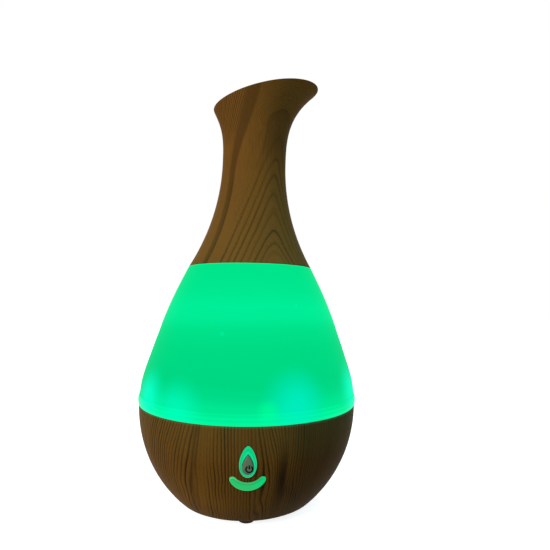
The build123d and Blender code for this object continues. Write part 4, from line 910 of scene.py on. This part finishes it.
# Light shell: milky polypropylene cone of the lift-off cover, standing on the bead. The ring of lamps lights it
# from below: soft spots beside the lamps, a brighter band above the rim of the cup inside, and a few water drops.
SHELL_SPAN = (50.0 * MM, 111.0 * MM)
SHELL_EDGE = (109.9 * MM, 110.5 * MM)
DROP_CORE = 0.4
DROPS = ((-33.35, -22.49, 88.68, 1.6), (19.56, -33.57, 92.12, 1.3), (-11.32, -41.75, 80.44, 1.2))
shell_pp, add, place = new_material("milky_pp_shell")
height = add("SeparateXYZ", (place,), out="Z")
cloud = add("TexNoise", {"Vector": place, "Scale": 24.0, "Detail": 2.0})
drift = add("MapRange", (cloud, 0.0, 1.0, -2.5 * MM, 2.5 * MM))
level = add("Math", (height, drift), "ADD")
level = add("MapRange", (level, *SHELL_SPAN))
light = add("ValToRGB", (level,), stops=(
    (0.0, "#00e690"), (0.04, "#00e590"), (0.1, "#00da88"), (0.18, "#00d581"), (0.4, "#00d982"),
    (0.52, "#00e088"), (0.6, "#00ea93"), (0.68, "#00ed96"), (0.8, "#00e68e"), (1.0, "#00e288")))
light = lamp_spots(add, place, light)
for x, y, z, size in DROPS:
    away = add("VectorMath", (place, Vector((x, y, z)) * MM), "DISTANCE", out="Value")
    speck = add("MapRange", (away, DROP_CORE * MM, size * MM, 0.3, 0.0))
    light = add("MixRGB", (speck, light, "#00ffb4"))
edge = add("MapRange", (height, *SHELL_EDGE, 0.0, 0.7))
light = add("MixRGB", (edge, light, "#00ff96"))
close_material(add, Base_Color="#001c10", Roughness=0.5, Specular_IOR_Level=0.004, Specular_Tint="#00c878",
               Emission_Color=light, Emission_Strength=1.0)
dress(shell_pp, "light_shell")

# Neck and spout: hollow ABS moulding with the same wood print, pressed into the shell's collar by its spigot.
# Geometry nodes grow it from its sizes: round sections that narrow to a waist, then tilted ovals up to the lip.
NECK_SEAM_Z = 110.6
NECK_STEPS = 240
NECK_ROWS = 160
NECK_WALL = 2.0
neck_sizes = {
    "Seam height": NECK_SEAM_Z * MM,
    "Lip height": 86.85 * MM,
    "Waist height": 53.5 * MM,
    "Waist radius": 16.05 * MM,
    "Flare": 14.35 * MM,
    "Lip half length": 27.8 * MM,
    "Lip half width": 20.3 * MM,
    "Slope": 0.02,
    "Lip lean": 6.8 * MM,
    "Lip tilt": math.radians(14.0),
}
neck_tree, add, given, neck_keys = new_tree(
    "spouted_neck", {"Material": "Material", **dict.fromkeys(neck_sizes, "Float")})
grid = add("GeometryNodeMeshGrid", {
    "Size X": 1.0, "Size Y": 1.0, "Vertices X": NECK_STEPS + 1, "Vertices Y": NECK_ROWS + 1})
grid_point = add("GeometryNodeInputPosition")
grid_point = add("SeparateXYZ", (grid_point,)).node.outputs
at = {name: given[name] for name in neck_sizes}
at["grid x"], at["grid y"] = grid_point["X"], grid_point["Y"]
# Each row is one sum: the name of its result, the operation, and the names or numbers that it takes.
for name, operation, *terms in (
    ("around", "MULTIPLY", "grid x", 2 * math.pi),
    ("climb", "ADD", "grid y", 0.5),
    ("height", "MULTIPLY", "climb", "Lip height"),
    # Below the waist the radius follows an arc that ends upright at the waist.
    ("under", "SUBTRACT", "Waist height", "height"),
    ("under", "MAXIMUM", "under", 0.0),
    ("flare square", "POWER", "Flare", 2.0),
    ("waist square", "POWER", "Waist height", 2.0),
    ("arc", "ADD", "flare square", "waist square"),
    ("arc", "DIVIDE", "arc", "Flare"),
    ("arc", "MULTIPLY", "arc", 0.5),
    ("arc square", "POWER", "arc", 2.0),
    ("under square", "POWER", "under", 2.0),
    ("sag", "SUBTRACT", "arc square", "under square"),
    ("sag", "SQRT", "sag"),
    ("sag", "SUBTRACT", "arc", "sag"),
    ("radius", "ADD", "Waist radius", "sag"),
    # Above it the section widens into an oval, leans towards the spout and tilts.
    ("over", "SUBTRACT", "height", "Waist height"),
    ("spout height", "SUBTRACT", "Lip height", "Waist height"),
    ("share", "DIVIDE", "over", "spout height"),
    ("share", "MAXIMUM", "share", 0.0),
    ("longer", "POWER", "share", 3.0),
    ("lip longer", "SUBTRACT", "Lip half length", "Waist radius"),
    ("longer", "MULTIPLY", "longer", "lip longer"),
    ("half length", "ADD", "radius", "longer"),
    ("wider", "POWER", "share", 2.0),
    ("lip wider", "SUBTRACT", "Lip half width", "Waist radius"),
    ("wider", "MULTIPLY", "wider", "lip wider"),
    ("half width", "ADD", "radius", "wider"),
    ("drift", "MULTIPLY", "Slope", "height"),
    ("lip drift", "MULTIPLY", "Slope", "Lip height"),
    ("lean", "SUBTRACT", "Lip lean", "lip drift"),
    ("lean share", "POWER", "share", 5.5),
    ("lean", "MULTIPLY", "lean", "lean share"),
    ("lean", "ADD", "lean", "drift"),
    ("tilt", "POWER", "share", 2.1),
    ("tilt", "MULTIPLY", "Lip tilt", "tilt"),
    # The point on the oval is tilted with it and moved to its place.
    ("cosine", "COSINE", "around"),
    ("sine", "SINE", "around"),
    ("along", "MULTIPLY", "half length", "cosine"),
    ("y", "MULTIPLY", "half width", "sine"),
    ("tilt cosine", "COSINE", "tilt"),
    ("tilt sine", "SINE", "tilt"),
    ("x", "MULTIPLY", "along", "tilt cosine"),
    ("x", "ADD", "x", "lean"),
    ("z", "MULTIPLY", "along", "tilt sine"),
    ("z", "ADD", "z", "height"),
    ("z", "ADD", "z", "Seam height"),
):
    at[name] = add("Math", [at.get(term, term) for term in terms], operation)
neck_point = add("CombineXYZ", (at["x"], at["y"], at["z"]))
bent = add("GeometryNodeSetPosition", {"Geometry": grid, "Position": neck_point})
closed = add("GeometryNodeMergeByDistance", {"Geometry": bent, "Distance": 1e-6})
close_tree(add, closed, given["Material"])

# On the neck the painted green glow fades out 54 mm above the seam.
neck_print = wood_print(
    "wood_print_on_abs_neck", "#6b471b", "#604017", "#2b1b0a", NECK_SEAM_Z, 165.0, 0.016, 0.0)
neck = add_object("neck", bpy.data.meshes.new("neck"))
grow(neck, neck_tree, neck_keys, {"Material": neck_print, **neck_sizes})
wall = neck.modifiers.new("wall", "SOLIDIFY")
wall.thickness = NECK_WALL * MM
wall.offset = -1.0
as_plain_mesh(neck)
# The lip is cut along a tilted plane, to which the wall's inside comes down. Away from the spout's tip the edge
# bows 1 mm above that plane.
LIP_BOW = 1.0 * MM
LIP_BOW_REACH = 30.0 * MM
lip_slope = math.tan(neck_sizes["Lip tilt"])
lip_reach = neck_sizes["Lip half length"] * math.cos(neck_sizes["Lip tilt"])
lip_z = neck_sizes["Seam height"] + neck_sizes["Lip height"] - neck_sizes["Lip lean"] * lip_slope
for point in neck.data.vertices:
    plane_z = lip_z + point.co.x * lip_slope
    to_tip = max(0.0, point.co.x - neck_sizes["Lip lean"]) / lip_reach
    bow = LIP_BOW * smooth_step(-LIP_BOW_REACH, 0.0, point.co.z - plane_z) * (1 - min(1.0, to_tip) ** 2)
    point.co.z = min(point.co.z, plane_z) + bow
edge = neck.modifiers.new("edge", "BEVEL")
edge.width = 0.5 * MM
edge.segments = 4
edge.use_clamp_overlap = False
edge.limit_method = "ANGLE"
edge.angle_limit = math.radians(40)
as_plain_mesh(neck)
neck_form = bmesh.new()
neck_form.from_mesh(neck.data)
if neck_form.calc_volume(signed=True) < 0:
    bmesh.ops.reverse_faces(neck_form, faces=neck_form.faces)
# The spigot is the plain ring under the neck that goes into the shell's collar.
SPIGOT = ((27.6, 104.8), (27.6, 110.6), (29.4, 110.6), (29.4, 111.4), (25.8, 111.4), (25.8, 104.8))
spigot = turned_piece("spigot", SPIGOT, 128)
neck_form.from_mesh(spigot.data)
bpy.data.objects.remove(spigot)
neck_form.to_mesh(neck.data)
neck_form.free()
smooth(neck, 50)

# The arches of the print: heights of their peaks. Above the last one the lines are fine and evenly spaced.
ARCH_PEAKS = (104.0, 112.0, 117.7, 122.5, 129.0, 136.5, 144.8, 154.5, 163.4, 176.0, 189.0)
FINE_STEP = 0.95
BAND_STEP = 1.25


def ring_of(peak):
    """Number of the growth ring whose arch peaks at this height. A wide ring keeps its line thin and high."""
    for i, (low, high) in enumerate(zip(ARCH_PEAKS, ARCH_PEAKS[1:])):
        if peak < high:
            return i + max(0.0, (peak - low) / (high - low)) ** 2.2
    return len(ARCH_PEAKS) - 1 + (peak - ARCH_PEAKS[-1]) / FINE_STEP


def neck_grain(p, turn):
    """Nested arches that peak right of the front, upright lines beside them, one dark band and one plain one."""
    climb = p.z - NECK_SEAM_Z
    centre = neck_sizes["Slope"] * climb
    degrees = math.degrees(math.atan2(p.x - centre, -p.y))
    radius = math.hypot(p.x - centre, p.y)
    crest = min(21.5 + 0.2 * climb + 0.0037 * climb * climb, 50.0)
    off_crest = math.radians((degrees - crest + 180) % 360 - 180) * (0.35 * radius + 11.0)
    wobble = noise.noise(Vector((p.x * 0.07, p.y * 0.07, p.z * 0.025)))
    fine = noise.noise(Vector((p.x * 0.3, p.y * 0.3 + 5, p.z * 0.05)))
    lip = smooth_step(52.0, 76.0, climb)
    blunt = 2.8 + 2.9 * lip
    leg = math.sqrt(off_crest * off_crest + blunt * blunt) - blunt
    peak = p.z + leg * ((3.3 - 2.1 * lip) + 0.05 * (1 - lip) * leg) + (3.0 - 2.0 * lip) * wobble + 0.6 * fine
    band_at = -43.0 + 0.12 * climb + 32.0 * smooth_step(45.0, 90.0, climb)
    off_band = math.radians(degrees - band_at) * radius
    widen = 1 + 1.1 * smooth_step(40.0, 82.0, climb)
    band = smooth_step(-3.0, -1.4, off_band / widen) * (1 - smooth_step(0.6, 1.4, off_band / widen))
    streak = bell(off_band, 0.6, 0.35) * (1 - smooth_step(30.0, 50.0, climb))
    shade = 0.5 * band + 0.35 * streak + 0.12 * max(0.0, wobble)
    if -90.0 < degrees < 90.0 and off_band < 0.0:
        ring = off_band / BAND_STEP + 0.5 * wobble + 0.3 * fine
        bite = (0.2 + 0.8 * smooth_step(56.0, 70.0, climb)) * (1 - band)
    else:
        plain = smooth_step(0.6, 1.6, off_band) * (1 - smooth_step(4.5, 8.5, off_band))
        fine_lines = smooth_step(184.0, 190.0, peak)
        low_fade = 1 - 0.75 * fine_lines * (1 - smooth_step(45.0, 66.0, climb))
        bite = (0.7 - 0.17 * fine_lines) * low_fade * (1 - 0.85 * plain * (1 - lip)) * (1 - band)
        leaf = smooth_step(160.0, 172.0, peak) * (1 - smooth_step(187.0, 190.0, peak))
        leaf *= smooth_step(44.0, 62.0, climb)
        bite *= 1 - 0.6 * leaf
        bite *= (0.4 + 0.6 * smooth_step(114.0, 130.0, peak)) * min(1.15, 0.95 + 0.5 * wobble)
        shade += 0.3 * leaf
        ring = ring_of(peak)
    return ring, max(0.0, min(1.0, bite)), max(0.0, min(0.95, shade))


wood_lines(neck, neck_grain)
coat(neck, neck_print)
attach(neck, "cover")
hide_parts("neck_spout")

# Stage: a plain white paper floor and background, soft light from the left, weaker lamps above, behind and at
# the right, and the camera where the photograph was taken.
FLOOR_HALF = 3.0
FLOOR_LIFT = 0.86
FLOOR_WHITER = (0.12, 0.6)
WORLD_LIGHT = 0.13


def seen_strength(add, unseen, seen):
    """Strength of a light that shows more to the eye, directly or in a gloss, than it gives to the object."""
    rays = add("LightPath").node.outputs
    direct = add("Math", (rays["Is Camera Ray"], rays["Is Glossy Ray"]), "MAXIMUM")
    direct = add("Math", (direct, rays["Is Transmission Ray"]), "MAXIMUM")
    return add("MapRange", (direct, 0.0, 1.0, unseen, seen))


floor_mesh = bpy.data.meshes.new("floor")
floor_corners = [(x * FLOOR_HALF, y * FLOOR_HALF, 0) for x, y in ((-1, -1), (1, -1), (1, 1), (-1, 1))]
floor_mesh.from_pydata(floor_corners, [], [(0, 1, 2, 3)])
floor = add_object("floor", floor_mesh)
floor_paper, add, place = new_material("white_paper_floor")
# Further from the object the floor is as white as the background.
away = add("VectorMath", (place,), "LENGTH", out="Value")
whiter = add("MapRange", (away, *FLOOR_WHITER, 1.0, 1.0 / FLOOR_LIFT))
strength = add("Math", (seen_strength(add, 0.0, FLOOR_LIFT), whiter), "MULTIPLY")
close_material(add, Base_Color=(0.5, 0.5, 0.5, 1), Roughness=0.9, Specular_IOR_Level=0.0,
               Emission_Color=(1, 1, 1, 1), Emission_Strength=strength)
floor_mesh.materials.append(floor_paper)
world = bpy.data.worlds.new("studio")
bpy.context.scene.world = world
world.use_nodes = True
world.node_tree.nodes.clear()
add = partial(add_node, world.node_tree)
glow = add("Background", {"Color": (1, 1, 1, 1), "Strength": seen_strength(add, WORLD_LIGHT, 1.0)})
add("OutputWorld", {"Surface": glow})

# Each lamp: name, place, size, power and colour. They all face the object's middle.
LAMPS = (
    ("key_lamp", (-1.0, -0.9, 0.75), 0.8, 22.0, "#ffffff"),
    ("ceiling_lamp", (0.8, -0.5, 1.4), 1.0, 11.3, "#cfffff"),
    ("back_lamp", (0.0, 1.6, 0.6), 0.3, 22.0, "#ffffff"),
    ("room_glow", (1.2, -0.35, 0.12), 0.5, 3.4, "#00acff"))
LAMP_AIM = Vector((0, 0, 0.09))
for name, place, size, power, colour in LAMPS:
    lamp_data = bpy.data.lights.new(name, "AREA")
    lamp_data.size = size
    lamp_data.energy = power
    lamp_data.color = linear(colour)[:3]
    lamp = add_object(name, lamp_data)
    lamp.location = place
    lamp.rotation_euler = (LAMP_AIM - Vector(place)).to_track_quat("-Z", "Y").to_euler()

CAMERA_PLACE = Vector((-1.90, -222.94, 92.67)) * MM
HEADING, PITCH, ROLL = math.radians(3.7), math.radians(3.8), math.radians(0.8)
ahead = Vector((math.sin(HEADING) * math.cos(PITCH), math.cos(HEADING) * math.cos(PITCH), math.sin(PITCH)))
level_right = Vector((math.cos(HEADING), -math.sin(HEADING), 0))
level_up = level_right.cross(ahead)
right = level_right * math.cos(ROLL) + level_up * math.sin(ROLL)
up = level_up * math.cos(ROLL) - level_right * math.sin(ROLL)
camera_data = bpy.data.cameras.new("camera")
camera_data.sensor_width = 36.0
camera_data.lens = 28.98
camera_data.clip_start = 0.01
camera = add_object("camera", camera_data)
camera.matrix_world = Matrix.Translation(CAMERA_PLACE) @ Matrix((right, up, -ahead)).transposed().to_4x4()
bpy.context.scene.camera = camera
bpy.context.scene.view_settings.view_transform = "Standard"
